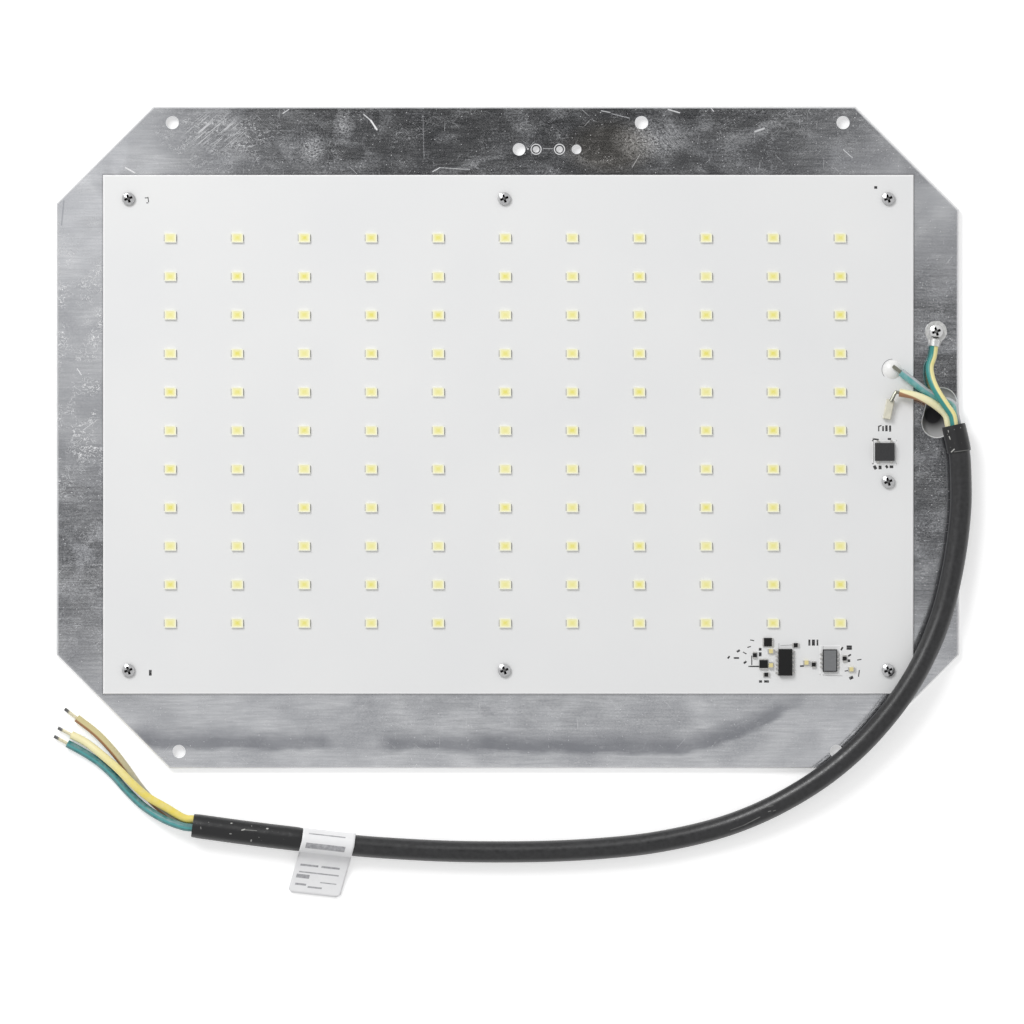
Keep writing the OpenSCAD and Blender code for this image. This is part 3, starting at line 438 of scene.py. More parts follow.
def make_piece(name, points, faces, finish, sharp=40.0):
    """Mesh object with smooth faces, sharp where two faces meet at more than that angle."""
    mesh = bpy.data.meshes.new(name)
    mesh.from_pydata(np.asarray(points).reshape(-1, 3), [], [list(face) for face in faces])
    mesh.polygons.foreach_set("use_smooth", np.ones(len(mesh.polygons), bool))
    mesh.set_sharp_from_angle(angle=math.radians(sharp))
    mesh.materials.append(finish)
    made = bpy.data.objects.new(name, mesh)
    bpy.context.scene.collection.objects.link(made)
    return made


def make_marks(name, marks, finish):
    """Thin closed blocks on the board: each is a rectangle turned about its middle, as thick as the ink."""
    x, y, length, width, turn = (marks * [MM, MM, MM / 2, MM / 2, math.pi / 180]).T[:, :, None, None]
    side = np.array([-1, 1, 1, -1])[None, None, :]
    end = np.array([-1, -1, 1, 1])[None, None, :]
    level = np.array([0, 1])[None, :, None]
    along, across = side * length, end * width
    points = np.stack([
        x + along * np.cos(turn) - across * np.sin(turn) + 0 * level,
        y + along * np.sin(turn) + across * np.cos(turn) + 0 * level,
        board_top + INK_T * level + 0 * (along + across),
    ], -1)
    box = np.array([[3, 2, 1, 0], [4, 5, 6, 7], [0, 1, 5, 4], [1, 2, 6, 5], [2, 3, 7, 6], [3, 0, 4, 7]])
    faces = (8 * np.arange(len(marks))[:, None, None] + box).reshape(-1, 4)
    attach(make_piece(name, points, faces.tolist(), finish), "root")


arc_marks = np.stack([
    ARC_MIDDLE[0] + ARC_R * np.cos(ARC_TURNS), ARC_MIDDLE[1] + ARC_R * np.sin(ARC_TURNS),
    0 * ARC_TURNS + ARC_STEP, 0 * ARC_TURNS + ARC_W, np.degrees(ARC_TURNS) + 90,
], -1)
black_ink = new_finish("print_black_ink", (0.025, 0.025, 0.027), 0.5)
patchy = ramp(black_ink, grain(black_ink, 0.35, detail=3.0), 0.55, 0.75)
paint(black_ink, patchy, (0.02, 0.02, 0.022), 0.4)
grey_ink = new_finish("print_grey_ink", (0.28, 0.28, 0.285), 0.5)
white_ink = new_finish("print_white_ink", 0.95, 0.5)
make_marks("print_black", BLACK_MARKS, black_ink)
make_marks("print_grey", np.concatenate([GREY_MARKS, arc_marks]), grey_ink)
make_marks("print_white", WHITE_MARKS, white_ink)

# LED packages: white moulded reflectors with a clipped corner, filled with yellow phosphor in silicone over
# the chips, soldered by two tinned terminals each.
LED_SIZE = (3.5 * MM, 2.8 * MM)
CUP_SIZE = (2.7 * MM, 2.2 * MM)
LED_COLUMNS = 11
ROWS = sorted(name for name in nodes if name.endswith("_housings"))
FILLS = sorted(name for name in nodes if name.endswith("_phosphor"))
first_low, first_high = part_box(ROWS[0])
last_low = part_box(ROWS[-1])[0]
led_span = np.array([first_high.x - first_low.x - LED_SIZE[0], first_low.y - last_low.y])
led_pitch = led_span / (LED_COLUMNS - 1)
led_middle = np.array([first_low.x + first_high.x, first_high.y + last_low.y]) / 2


def led_distance(finish, size):
    """How far out a point is from its own LED's middle: 0 there, 1 on a box of that length and width."""
    moved = vectors(finish, "SUBTRACT", place_on(finish), (*led_middle, 0.0))
    half = np.array([*led_pitch / 2, 1.0])
    wrapped = vectors(finish, "WRAP", moved, half, -half)
    shares = vectors(finish, "MULTIPLY", wrapped, (2 / size[0], 2 / size[1], 0.0))
    return larger_side(finish, vectors(finish, "ABSOLUTE", shares))


housing = new_finish("led_housing_plastic", (0.9, 0.89, 0.8), 0.38)
rim = ramp(housing, led_distance(housing, LED_SIZE), 0.8, 0.97)
paint(housing, rim, (0.96, 0.945, 0.66), (0.94, 0.93, 0.8))
bump(housing, grain(housing, 0.2), 0.003 * MM)
dress(housing, *ROWS)

phosphor = new_finish("led_phosphor_silicone", (0.9, 0.82, 0.3), 0.3)
outward = led_distance(phosphor, CUP_SIZE)
lot = ramp(phosphor, grain(phosphor, (16, 9, 9), detail=0.0, shift=6.0), 0.38, 0.62)
dense = mix(phosphor, lot, (0.85, 0.77, 0.13), (0.9, 0.84, 0.34))
yellow = mix(phosphor, ramp(phosphor, outward, 0.25, 0.9), dense, (0.96, 0.93, 0.58))
mottle = grain(phosphor, 0.25, detail=3.0)
pale = ramp(phosphor, mottle, 0.3, 0.8, 0.0, 0.6)
paint(phosphor, pale, yellow, (0.95, 0.91, 0.46))
bump(phosphor, mottle, 0.004 * MM)
dress(phosphor, *FILLS)


def mottled(name, colours, roughness, size, detail, depth, spread=(0.0, 1.0), **sockets):
    """Finish that goes from one colour to the other over the spread of a grain, which is also its relief.

    Two values of roughness are those of the grain's low and high parts. The depth is in millimetres.
    """
    made = new_finish(name, np.mean(colours, 0), np.mean(roughness), **sockets)
    pattern = grain(made, size, detail=detail)
    paint(made, ramp(made, pattern, *spread), *colours)
    if np.size(roughness) == 2:
        feed(made, "Roughness", ramp(made, pattern, 0.3, 0.7, *roughness))
    bump(made, pattern, depth * MM)
    return made


tinned = mottled(
    "tinned_metal", ((0.58, 0.57, 0.55), (0.82, 0.81, 0.79)), (0.22, 0.45),
    size=(0.5, 0.3, 0.5), detail=4.0, depth=0.01, Metallic=1.0,
)
solder = mottled(
    "led_solder", ((0.16, 0.16, 0.13), (0.42, 0.42, 0.36)), 0.4,
    size=0.3, detail=3.0, depth=0.01, Metallic=1.0,
)
dress(solder, "led_terminals")

# Board screws: seven M2 pan-head screws of plated steel with a cross recess, turned into the plate's
# tapped holes.
RECESS_REACH = 1.0 * MM
RECESS_SHADE_TONE = 0.008
steel = new_finish("screw_plated_steel", (0.7, 0.7, 0.71), 0.2, Metallic=1.0)
wear = grain(steel, 0.6, detail=4.0)
feed(steel, "Roughness", ramp(steel, wear, 0.3, 0.7, 0.12, 0.3))


def paint_recess_shade(finish, colour):
    """Painted shade in a screw's recess: darker where the walls around a point hide the sky from it."""
    hidden = add_node(finish, "AmbientOcclusion", {"Distance": RECESS_REACH}, samples=8).outputs["AO"]
    paint(finish, ramp(finish, hidden, 0.68, 0.94), RECESS_SHADE_TONE, colour)


# The plated screws' cross recesses are painted dark as shade.
paint_recess_shade(steel, mix(steel, wear, (0.5, 0.5, 0.51), (0.9, 0.9, 0.91)))
bump(steel, wear, 0.008 * MM)
dress(steel, "board_screws")

# Driver parts: the bridge rectifier, the driver chip, the power transistor with its grey metal top, chip
# resistors and ceramic capacitors, all moulded or fired and soldered to the board by tinned leads.


def moulding_finish(name, *tones):
    """Filled epoxy: matt, with fine sparkling grains that go from the dark tone to the light one."""
    colours = [(tone, tone, 1.05 * tone) for tone in tones]
    return mottled(
        name, colours, (0.45, 0.62), size=0.16, detail=3.0, depth=0.012, spread=(0.35, 0.7),
        Specular_IOR_Level=0.3,
    )


dress(moulding_finish("bridge_black_moulding", 0.028, 0.056), "bridge_rectifier")
moulding = moulding_finish("chip_black_moulding", 0.004, 0.012)
dress(moulding, "driver_chip", "power_transistor", "chip_resistors")
grey_top = mottled(
    "transistor_grey_metal", ((0.17, 0.175, 0.18), (0.27, 0.275, 0.285)), 0.45,
    size=(1.2, 0.12, 0.3), detail=3.0, depth=0.006, Metallic=0.4,
)
dress(grey_top, "power_transistor_top")
ceramic = mottled(
    "capacitor_ceramic", ((0.7, 0.58, 0.22), (0.86, 0.78, 0.42)), 0.4, size=0.3, detail=3.0, depth=0.006,
)
dress(ceramic, "chip_capacitors")
dress(tinned, "bridge_leads", "driver_leads_pair", "power_leads_pair")
dress(tinned, "chip_resistor_ends", "chip_capacitor_ends")

# Wire joints: the neutral wire's solder joint under a dome of white sealant, and the cream resin tab that
# holds the live wire's bare end.
sealant = mottled(
    "joint_white_sealant", ((0.84, 0.84, 0.83), (0.92, 0.92, 0.91)), 0.3, size=1.4, detail=2.0, depth=0.05,
)
dress(sealant, "neutral_joint")
resin = mottled(
    "tab_cream_resin", ((0.56, 0.54, 0.45), (0.86, 0.83, 0.68)), 0.35, size=1.5, detail=3.0, depth=0.06,
)
dress(resin, "live_tab")

# Earth terminal: a crimped ring of tinned copper under a bright plated M2.5 screw, which bonds the plate to
# the cable's earth wire.
BRIGHT_TONE = 0.93
ring_finish = mottled(
    "ring_tinned_copper", ((0.6, 0.6, 0.59), (0.93, 0.93, 0.92)), (0.3, 0.55),
    size=0.8, detail=4.0, depth=0.02, Metallic=0.9,
)
dress(ring_finish, "ring_terminal")
bright = new_finish("earth_screw_bright_steel", BRIGHT_TONE, 0.18, Metallic=1.0)
wear = grain(bright, 0.7, detail=4.0)
feed(bright, "Roughness", ramp(bright, wear, 0.3, 0.7, 0.2, 0.4))
# The earth screw's recess is painted dark as shade.
paint_recess_shade(bright, BRIGHT_TONE)
bump(bright, wear, 0.006 * MM)
dress(bright, "earth_screw")

# Cable jacket: black rubber round three cores, extruded in one length. It leaves the plate's slot, lies over
# the corner of the board and goes down to the floor, where it ends bare.
JACKET_D = 6.4 * MM
JACKET_STEPS = 10
JACKET_SIDES = 32
SLIP = 0.1
SLEEVE_WALL = 0.3
LAY_GAP = 0.1
# Light colour of dust and scuffs, and of the painted glint and lip highlight on the sleeve at the board.
DUST_AND_GLINT_COLOUR = (0.5, 0.5, 0.48)
plate_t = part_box("mounting_plate")[1].z / MM
on_floor = JACKET_D / MM / 2 + LAY_GAP
on_plate = plate_t + on_floor
on_board = board_top / MM + on_floor
entry_z = on_plate + SLIP + SLEEVE_WALL
tail_z = on_floor + SLIP + SLEEVE_WALL
JACKET_ROUTE = np.array([
    [133, 3.5, entry_z], [134.7, -4.5, entry_z], [135.2, -12, on_plate], [135.2, -20.5, on_plate],
    [134.2, -31, on_plate], [132.4, -41.5, on_plate + 0.2], [129.8, -52, on_plate + 0.5],
    [125.8, -62.5, on_board - 0.4], [120.3, -73, on_board + 0.1], [113.2, -83, on_board - 0.2],
    [104.3, -92.8, on_plate + 0.5], [93.7, -101.6, on_plate], [81.7, -109, on_floor + 1.1],
    [69.7, -114.5, on_floor + 0.4], [57.5, -118.3, on_floor], [42.5, -121.3, on_floor],
    [27.5, -122.9, on_floor], [12.5, -123.7, on_floor], [-2.5, -123.9, on_floor],
    [-17.5, -123.7, on_floor], [-32, -123, on_floor + 0.1], [-45.5, -122, tail_z],
    [-61.5, -120.2, tail_z], [-78, -118.2, tail_z], [-94, -116, tail_z],
]) * MM
JACKET_SCUFFS = (
    # ends of each scuff and its half width in millimetres, and its strength
    ((66.5, -117.2), (70.4, -115.8), 0.14, 0.22), ((70.4, -115.8), (75.2, -113.3), 0.16, 0.3),
    ((77.7, -111.7), (78.4, -111.5), 0.16, 0.4), ((79.2, -111.5), (79.8, -111.3), 0.14, 0.3),
    ((75.2, -110.7), (79.1, -109.9), 0.2, 0.12), ((87.4, -99.4), (87.6, -99.4), 0.2, 0.3),
)


def smooth_line(points, samples):
    """Catmull-Rom curve: each span is the cubic whose end slopes are half the chord of its neighbours."""
    p = np.concatenate([2 * points[:1] - points[1:2], points, 2 * points[-1:] - points[-2:-1]])
    a, b, c, d = (p[k : len(p) - 3 + k, None] for k in range(4))
    t = np.linspace(0, 1, samples, endpoint=False)[:, None]
    spans = b + t * (c - a) / 2 + t**2 * (a - 2.5 * b + 2 * c - d / 2) + t**3 * (d - a + 3 * (b - c)) / 2
    return np.concatenate([spans.reshape(-1, 3), points[-1:]])


def line_frame(line):
    """Heading at each point of a line, the level vector to its left, and the vector square to both."""
    heading = np.gradient(line, axis=0)
    heading /= np.linalg.norm(heading, axis=1, keepdims=True)
    left = np.cross([0, 0, 1], heading)
    left /= np.linalg.norm(left, axis=1, keepdims=True)
    return heading, left, np.cross(heading, left)


def way_along(line):
    """Distance along a line from its start, at each of its points."""
    return np.concatenate([[0], np.cumsum(np.linalg.norm(np.diff(line, axis=0), axis=1))])


def tube_points(line, radius, sides):
    """Rings of a tube: at each point of the line, radius times (cos a, sin a) on the left and up vectors."""
    left, up = line_frame(line)[1:]
    angle = np.linspace(0, 2 * math.pi, sides, endpoint=False)[None, :, None]
    reach = np.broadcast_to(np.asarray(radius, float), len(line))[:, None, None]
    return line[:, None] + reach * (np.cos(angle) * left[:, None] + np.sin(angle) * up[:, None])


def quad_corners(rows, columns):
    """Row and column of each corner of each quad of a grid: two on one row, then back along the next."""
    i, k = np.meshgrid(np.arange(rows - 1), np.arange(columns - 1), indexing="ij")
    row = np.stack([i, i, i + 1, i + 1], -1).reshape(-1, 4)
    return row, np.stack([k, k + 1, k + 1, k], -1).reshape(-1, 4)


def ring_faces(rows, sides, start=0):
    """Quads of a tube's wall: a grid of rings whose last column is the first one again."""
    row, column = quad_corners(rows, sides + 1)
    return start + row * sides + column % sides


def set_uv(piece, along, around):
    """UV map from two arrays, one value for each corner of each face in order."""
    layer = piece.data.uv_layers.new(name="UVMap")
    layer.data.foreach_set("uv", np.stack([along, around], -1).astype(np.float32).ravel())


def make_tube(name, line, radius, sides, finish):
    """Closed tube along a line, with a flat face on each end; U runs along it in metres, V once around."""
    rows = len(line)
    first = np.arange(sides)[::-1]
    last = (rows - 1) * sides + np.arange(sides)
    faces = [*ring_faces(rows, sides).tolist(), first.tolist(), last.tolist()]
    piece = make_piece(name, tube_points(line, radius, sides), faces, finish)
    row, column = quad_corners(rows, sides + 1)
    way, caps = way_along(line), np.arange(sides) / sides
    along = np.concatenate([way[row].ravel(), 0 * caps, 0 * caps + way[-1]])
    set_uv(piece, along, np.concatenate([column.ravel() / sides, caps, caps]))
    return piece


def stand_for(piece, node):
    """A piece of the one body that stands for a CAD node, which is hidden."""
    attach(piece, "root")
    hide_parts(node)


rubber = new_finish("jacket_black_rubber", (0.022, 0.022, 0.023), 0.35, Specular_IOR_Level=0.6)
drawn = grain(rubber, 1.2, detail=5.0)
scuffs = add_lines(rubber, 0.0, JACKET_SCUFFS)
tone = mix(rubber, ramp(rubber, drawn, 0.3, 0.75), (0.014, 0.014, 0.015), (0.028, 0.028, 0.03))
paint(rubber, scuffs, tone, DUST_AND_GLINT_COLOUR)
feed(rubber, "Roughness", ramp(rubber, drawn, 0.3, 0.7, 0.28, 0.42))
bump(rubber, drawn, 0.02 * MM)
jacket_line = smooth_line(JACKET_ROUTE, JACKET_STEPS)
jacket = make_tube("jacket", jacket_line, JACKET_D / 2, JACKET_SIDES, rubber)
stand_for(jacket, "cable_jacket")

# Shrink sleeves: two short lengths of black tube shrunk over the jacket's ends, one at the board and one at
# the tail, with dust and scuffs on them; the one at the board also has a painted glint and a painted
# highlight along its lower lip.
SLEEVE_COLOUR = (0.016, 0.016, 0.017)
SLEEVE_IN = JACKET_D / 2 + SLIP * MM
SLEEVE_OUT = SLEEVE_IN + SLEEVE_WALL * MM
LIP = 0.12 * MM
SLEEVE_SCUFFS_AND_GLINTS = (
    # ends of each scuff or painted highlight and its half width in millimetres, and its strength
    ((131.2, 1.9), (131.3, 1.4), 0.14, 0.9), ((131.5, 0.1), (131.8, -0.7), 0.16, 1.0),
    # the next two are a painted glint and a painted highlight along the lower lip of the sleeve at the board
    ((132.2, -4.5), (133.0, -3.7), 0.2, 1.0), ((133.0, -4.5), (137.4, -3.9), 0.14, 0.3),
    ((-82.5, -115.2), (-82.2, -115.2), 0.2, 0.9), ((-91.5, -116.3), (-91.4, -116.8), 0.16, 0.5),
    ((-79.2, -117.2), (-78.4, -117.0), 0.24, 0.9), ((-78.4, -117.1), (-74.8, -117.4), 0.16, 0.35),
    ((-71.8, -116.8), (-71.5, -116.8), 0.26, 1.0), ((-82.8, -118.3), (-82.4, -118.3), 0.2, 0.6),
    ((-76.5, -120.5), (-76.4, -120.2), 0.26, 0.7),
)
shrunk = new_finish("sleeve_black_tube", SLEEVE_COLOUR, 0.38)
dust_and_glints = ramp(shrunk, grain(shrunk, (0.8, 0.5, 0.6), detail=1.0), 0.77, 0.8)
dust_and_glints = add_lines(shrunk, dust_and_glints, SLEEVE_SCUFFS_AND_GLINTS)
paint(shrunk, dust_and_glints, SLEEVE_COLOUR, DUST_AND_GLINT_COLOUR)
feed(shrunk, "Roughness", ramp(shrunk, dust_and_glints, 0.0, 1.0, 0.36, 0.8))
bump(shrunk, grain(shrunk, 3, detail=3.0), 0.15 * MM)


def make_sleeve(name, line):
    """Open tube: its outer wall with eased lips, and its inner wall carried back to the start."""
    wall = np.full(len(line), SLEEVE_OUT)
    wall[[0, -1]] -= LIP
    inner = tube_points(line, SLEEVE_IN, JACKET_SIDES)[::-1]
    points = np.concatenate([tube_points(line, wall, JACKET_SIDES), inner])
    faces = ring_faces(len(points) + 1, JACKET_SIDES) % (len(points) * JACKET_SIDES)
    return make_piece(name, points, faces.tolist(), shrunk, sharp=60.0)


entry_sleeve = make_sleeve("sleeve_at_board", jacket_line[: JACKET_STEPS + 1])
tail_sleeve = make_sleeve("sleeve_at_tail", jacket_line[-2 * JACKET_STEPS - 1 :])
stand_for(entry_sleeve, "entry_sleeve")
stand_for(tail_sleeve, "tail_sleeve")

# Cores at the board: earth, neutral and live wires in coloured insulation, stripped of the jacket, led over
# the slot to the ring terminal and to the two joints on the board.
CORE_D = 2.4 * MM
CORE_SIDES = 24
CORE_STEPS = 12
CORE_RUN = 3
CONDUCTOR_R = 0.55
JOINT_H = 1.2
TAB_H = 2
SEAT_GAP = 0.08
RING_TURN = math.radians(8)
RING_MIDDLE = np.array([128, 31.5, plate_t + 1.5])
BARREL_REACH = 4.4
# left and up of the cable's middle, for the earth, the neutral and the live core
ENTRY_SEATS = ((-0.15, 1.5), (-1.25, -0.95), (1.38, -0.62))
joint_top = board_top / MM + JOINT_H + CONDUCTOR_R + SEAT_GAP
tab_top = board_top / MM + TAB_H + CONDUCTOR_R + SEAT_GAP


def core_ends(end, inner, seats):
    """Places of the cores in a cable's end face, left and up from its middle, and the way out of it."""
    way = (end - inner) / np.linalg.norm(end - inner)
    side = np.cross([0, 0, 1], way)
    return [end + left * side + up * np.cross(way, side) for left, up in seats], way


(earth_entry, neutral_entry, live_entry), out = core_ends(*JACKET_ROUTE[:2] / MM, ENTRY_SEATS)
barrel_way = np.array([-math.sin(RING_TURN), -math.cos(RING_TURN), 0])
barrel_mouth = RING_MIDDLE + BARREL_REACH * barrel_way
EARTH_ROUTE = np.array([
    barrel_mouth, barrel_mouth + CORE_RUN * barrel_way, [126, 21.2, plate_t + 2.2],
    [126.2, 18.2, plate_t + 3.3], [127.2, 15.1, plate_t + 4.4], [128.9, 12, plate_t + 5.2],
    [130.8, 9.1, plate_t + 5.4], earth_entry + CORE_RUN * out, earth_entry,
]) * MM
NEUTRAL_ROUTE = np.array([
    [117.3, 19.3, joint_top + 0.05], [121.3, 16.2, joint_top], [125.4, 13.1, plate_t + 2.7],
    [129, 10.9, plate_t + 2.2], [131.5, 10.6, plate_t + 2.05], [133.2, 9.2, plate_t + 2.05],
    neutral_entry + CORE_RUN * out, neutral_entry,
]) * MM
LIVE_ROUTE = np.array([
    [116.8, 13.2, tab_top], [121.5, 12.3, tab_top + 0.3], [125.7, 10.6, tab_top + 0.2],
    [129.1, 8.3, tab_top - 0.6], live_entry + CORE_RUN * out, live_entry,
]) * MM
STRIPE_EDGE = 0.04


def uv_parts(finish):
    """The U and the V of a point."""
    return split(finish, add_node(finish, "UVMap", {}, uv_map="UVMap").outputs["UV"])[:2]


def between(finish, source, low, high, edge):
    """1 between two values of the source and 0 outside them, with an edge of that width inside each."""
    begun = ramp(finish, source, low, low + edge)
    return times(finish, begun, ramp(finish, source, high - edge, high, 1.0, 0.0))


def core_finish(name, colour, second, start, stop, twist, far=None, fade=(0.0, 1.0)):
    """Glossy insulation with a second colour on the share of its round from start to stop, turning along it.

    Where a far colour is given, the first one fades to it along the stretch of the wire that fade gives.
    """
    made = new_finish(name, colour, 0.34)
    along, around = uv_parts(made)
    turned = maths(made, "FRACT", maths(made, "ADD", around, times(made, along, twist)))
    stripe = between(made, turned, start - STRIPE_EDGE / 2, stop + STRIPE_EDGE / 2, STRIPE_EDGE)
    smear = grain(made, 1.5, detail=4.0)
    body = mix(made, ramp(made, smear, 0.3, 0.75), colour, [0.75 * part + 0.2 for part in colour])
    if far:
        body = mix(made, ramp(made, along, *fade), body, far)
    paint(made, stripe, body, second)
    feed(made, "Roughness", ramp(made, smear, 0.3, 0.7, 0.28, 0.45))
    bump(made, smear, 0.015 * MM)
    return made


PALE_YELLOW = (0.95, 0.85, 0.34)
GREEN = (0.04, 0.27, 0.25)
# Teal of the neutral core, also the painted highlight along one side of the neutral tail.
TEAL_AND_HIGHLIGHT = (0.09, 0.37, 0.37)
NEUTRAL_HIGHLIGHT_GREY = (0.52, 0.54, 0.56)
BROWN = (0.4, 0.2, 0.1)
CREAM = (0.95, 0.88, 0.52)
CORES = (
    # name of each core, its route, its colours, the share of its round with the second one, and its twist
    ("earth", EARTH_ROUTE, PALE_YELLOW, GREEN, 0.25, 0.66, 0.0),
    # the neutral's pale grey share on one side of its round is a painted highlight
    ("neutral", NEUTRAL_ROUTE, TEAL_AND_HIGHLIGHT, NEUTRAL_HIGHLIGHT_GREY, 0.0, 0.19, 0.0),
    ("live", LIVE_ROUTE, CREAM, BROWN, 0.22, 0.55, -23.0),
)
for name, route, *stripes in CORES:
    finish = core_finish(name + "_insulation_board", *stripes)
    line = smooth_line(route, CORE_STEPS)
    core = make_tube(name + "_core_at_board", line, CORE_D / 2, CORE_SIDES, finish)
    stand_for(core, name + "_core")
dress(solder, "neutral_conductor", "live_conductor")

# Tails: the same three cores at the cable's free end, fanned out on the floor and stripped to short bare
# tips of twisted tinned strands.
TAIL_STEPS = 10
CROSSING_GAP = 0.2
EXIT_SEATS = ((-1.9, 0.3), (0.6, 1.2), (0.1, -1.3))
on_floor_core = CORE_D / MM / 2 + LAY_GAP
over_core = on_floor_core + CORE_D / MM + CROSSING_GAP
(earth_exit, neutral_exit, live_exit), out = core_ends(*JACKET_ROUTE[:-3:-1] / MM, EXIT_SEATS)
EARTH_TAIL_ROUTE = np.array([
    earth_exit, earth_exit + CORE_RUN * out, [-102, -110.6, over_core], [-107.5, -107.4, over_core],
    [-112, -103.5, over_core], [-116.5, -99, over_core - 0.6], [-121.5, -94.7, on_floor_core + 1.4],
    [-126, -91.3, on_floor_core + 0.4], [-130.4, -89, on_floor_core],
]) * MM
NEUTRAL_TAIL_ROUTE = np.array([
    neutral_exit, neutral_exit + CORE_RUN * out, [-102.5, -114.2, on_floor_core + 2.5],
    [-108.5, -110.6, on_floor_core + 0.6], [-113.5, -106, on_floor_core], [-117.8, -101.2, on_floor_core],
    [-122, -97.4, on_floor_core], [-126.5, -94.4, on_floor_core], [-131.6, -91.6, on_floor_core],
]) * MM
LIVE_TAIL_ROUTE = np.array([
    live_exit, live_exit + CORE_RUN * out, [-102, -112.5, on_floor_core + 0.2],
    [-106.5, -108.5, on_floor_core], [-110.2, -104.3, on_floor_core], [-113.8, -99.2, on_floor_core],
    [-117.8, -94, on_floor_core], [-122.8, -88.7, on_floor_core], [-128.8, -84, on_floor_core],
]) * MM
TIP_L = 4.5 * MM
STRANDS = 7
STRAND_R = 0.2 * MM
LAY_R = 0.33 * MM
TURNS = 0.8


def make_tip(name, line, finish, rows=24, sides=8):
    """Twisted strands: round tubes on helices about the line's last heading, one more in the middle."""
    heading, left, up = (v[-1] for v in line_frame(line))
    share = np.linspace(0, 1, rows)
    middle = line[-1] + share[:, None] * TIP_L * heading
    points, faces = [], []
    for strand in range(STRANDS):
        angle = 2 * math.pi * (strand / (STRANDS - 1) + TURNS * share)[:, None]
        reach = LAY_R if strand < STRANDS - 1 else 0.0
        helix = middle + reach * (np.cos(angle) * left + np.sin(angle) * up)
        start = len(points) * rows * sides
        points.append(tube_points(helix, STRAND_R, sides))
        ends = np.array([np.arange(sides)[::-1], (rows - 1) * sides + np.arange(sides)])
        faces += [*ring_faces(rows, sides, start).tolist(), *(ends + start).tolist()]
    piece = make_piece(name, np.array(points), faces, finish)
    along = np.broadcast_to(share[None, :, None], (STRANDS, rows, sides)).astype(np.float32)
    piece.data.attributes.new("along", "FLOAT", "POINT").data.foreach_set("value", along.ravel())
    return piece


YELLOW = (0.9, 0.74, 0.12)
DARK_TEAL = (0.028, 0.19, 0.195)
TAN = (0.68, 0.6, 0.31)
GREY_TAN = (0.42, 0.39, 0.3)
FADED = (18 * MM, 38 * MM)
BRIGHT_SHARE = (0.6, 0.75)
tip_finish = new_finish("tip_tinned_strands", (0.6, 0.58, 0.52), 0.3, Metallic=1.0)
dull = grain(tip_finish, 0.5, detail=4.0)
bare = mix(tip_finish, dull, (0.7, 0.64, 0.44), (0.95, 0.9, 0.7))
along = add_node(tip_finish, "Attribute", {}, attribute_name="along").outputs["Fac"]
paint(tip_finish, ramp(tip_finish, along, *BRIGHT_SHARE), bare, 0.22)
feed(tip_finish, "Metallic", ramp(tip_finish, along, *BRIGHT_SHARE, 0.35, 1.0))
feed(tip_finish, "Roughness", ramp(tip_finish, dull, 0.3, 0.7, 0.25, 0.5))
TAILS = (
    # the same as for the cores, and the colour to which the tail fades with the stretch where it does
    ("earth", EARTH_TAIL_ROUTE, YELLOW, GREEN, 0.55, 0.95, 0.0, CREAM, FADED),
    # the neutral tail's lighter teal share on one side is a painted highlight
    ("neutral", NEUTRAL_TAIL_ROUTE, DARK_TEAL, TEAL_AND_HIGHLIGHT, 0.18, 0.26, 0.0),
    ("live", LIVE_TAIL_ROUTE, GREY_TAN, BROWN, 0.05, 0.2, 0.0, TAN, FADED),
)
for name, route, *stripes in TAILS:
    finish = core_finish(name + "_insulation_tail", *stripes)
    line = smooth_line(route, TAIL_STEPS)
    core = make_tube(name + "_core_at_tail", line, CORE_D / 2, CORE_SIDES, finish)
    tip = make_tip(name + "_bare_strands", line, tip_finish)
    stand_for(core, name + "_tail")
    stand_for(tip, name + "_tip")

# Cable label: a flag of white printed film, wrapped round the jacket beside the tail sleeve and stuck to
# itself, so that its two ends make a flag that lies on the floor. Plain bars stand where its print would be.
FILM_T = 0.2 * MM
FILM_LIFT = 1.6 * FILM_T
WRAP_R = SLEEVE_IN + 0.25 * MM
WRAP_L = 15.7 * MM
# first and last angle in degrees of the film over and under the cable, and its count of points
WRAP_OVER = (205, 0, 28)
WRAP_UNDER = (-8, -105, 14)
FLAG_REACH = 16.2 * MM
FLAG_SLANT = 2.7 * MM
FLAG_CORNER = 1.2 * MM
FLAG_STEPS = 15
LABEL_FIRST = 21
LABEL_COLUMNS = 25
LABEL_BARS = (
    # start and end of each bar: shares across the label, then millimetres along the film from its edge
    (0.09, 0.44, 8.4, 9.1), (0.49, 0.85, 8.4, 9.1), (0.1, 0.87, 6.3, 6.8), (0.07, 0.33, 4.6, 5.9),
    (0.55, 0.87, 3.7, 4.1), (0.09, 0.31, 2.4, 3.1), (0.34, 0.62, 1.9, 2.5),
    (0.09, 0.85, 17.9, 19.8), (0.11, 0.82, 22.3, 22.8),
)
BAR_SIDE_EDGE = 0.01
BAR_EDGE = 0.1 * MM
ends = JACKET_ROUTE[LABEL_FIRST : LABEL_FIRST + 2]
label_way = (ends[0] - ends[1]) / np.linalg.norm(ends[0] - ends[1])
label_side = np.cross([0, 0, 1], label_way)
label_middle = ends.mean(0)


def wrap_arc(first, last, count):
    """Points of the film in section round the cable, from one angle to another in degrees."""
    angle = np.radians(np.linspace(first, last, count))
    return WRAP_R * np.stack([np.cos(angle), np.sin(angle)], -1)


def flag_half(wrap_end, level):
    """Half of the flag in section: from its edge it eases up to the wrap's end, by s^3 (4 - 3 s)."""
    share = np.linspace(0, 1, FLAG_STEPS, endpoint=False)
    across = -FLAG_REACH + share * (wrap_end[0] + FLAG_REACH)
    return np.stack([across, level + share**3 * (4 - 3 * share) * (wrap_end[1] - level)], -1)


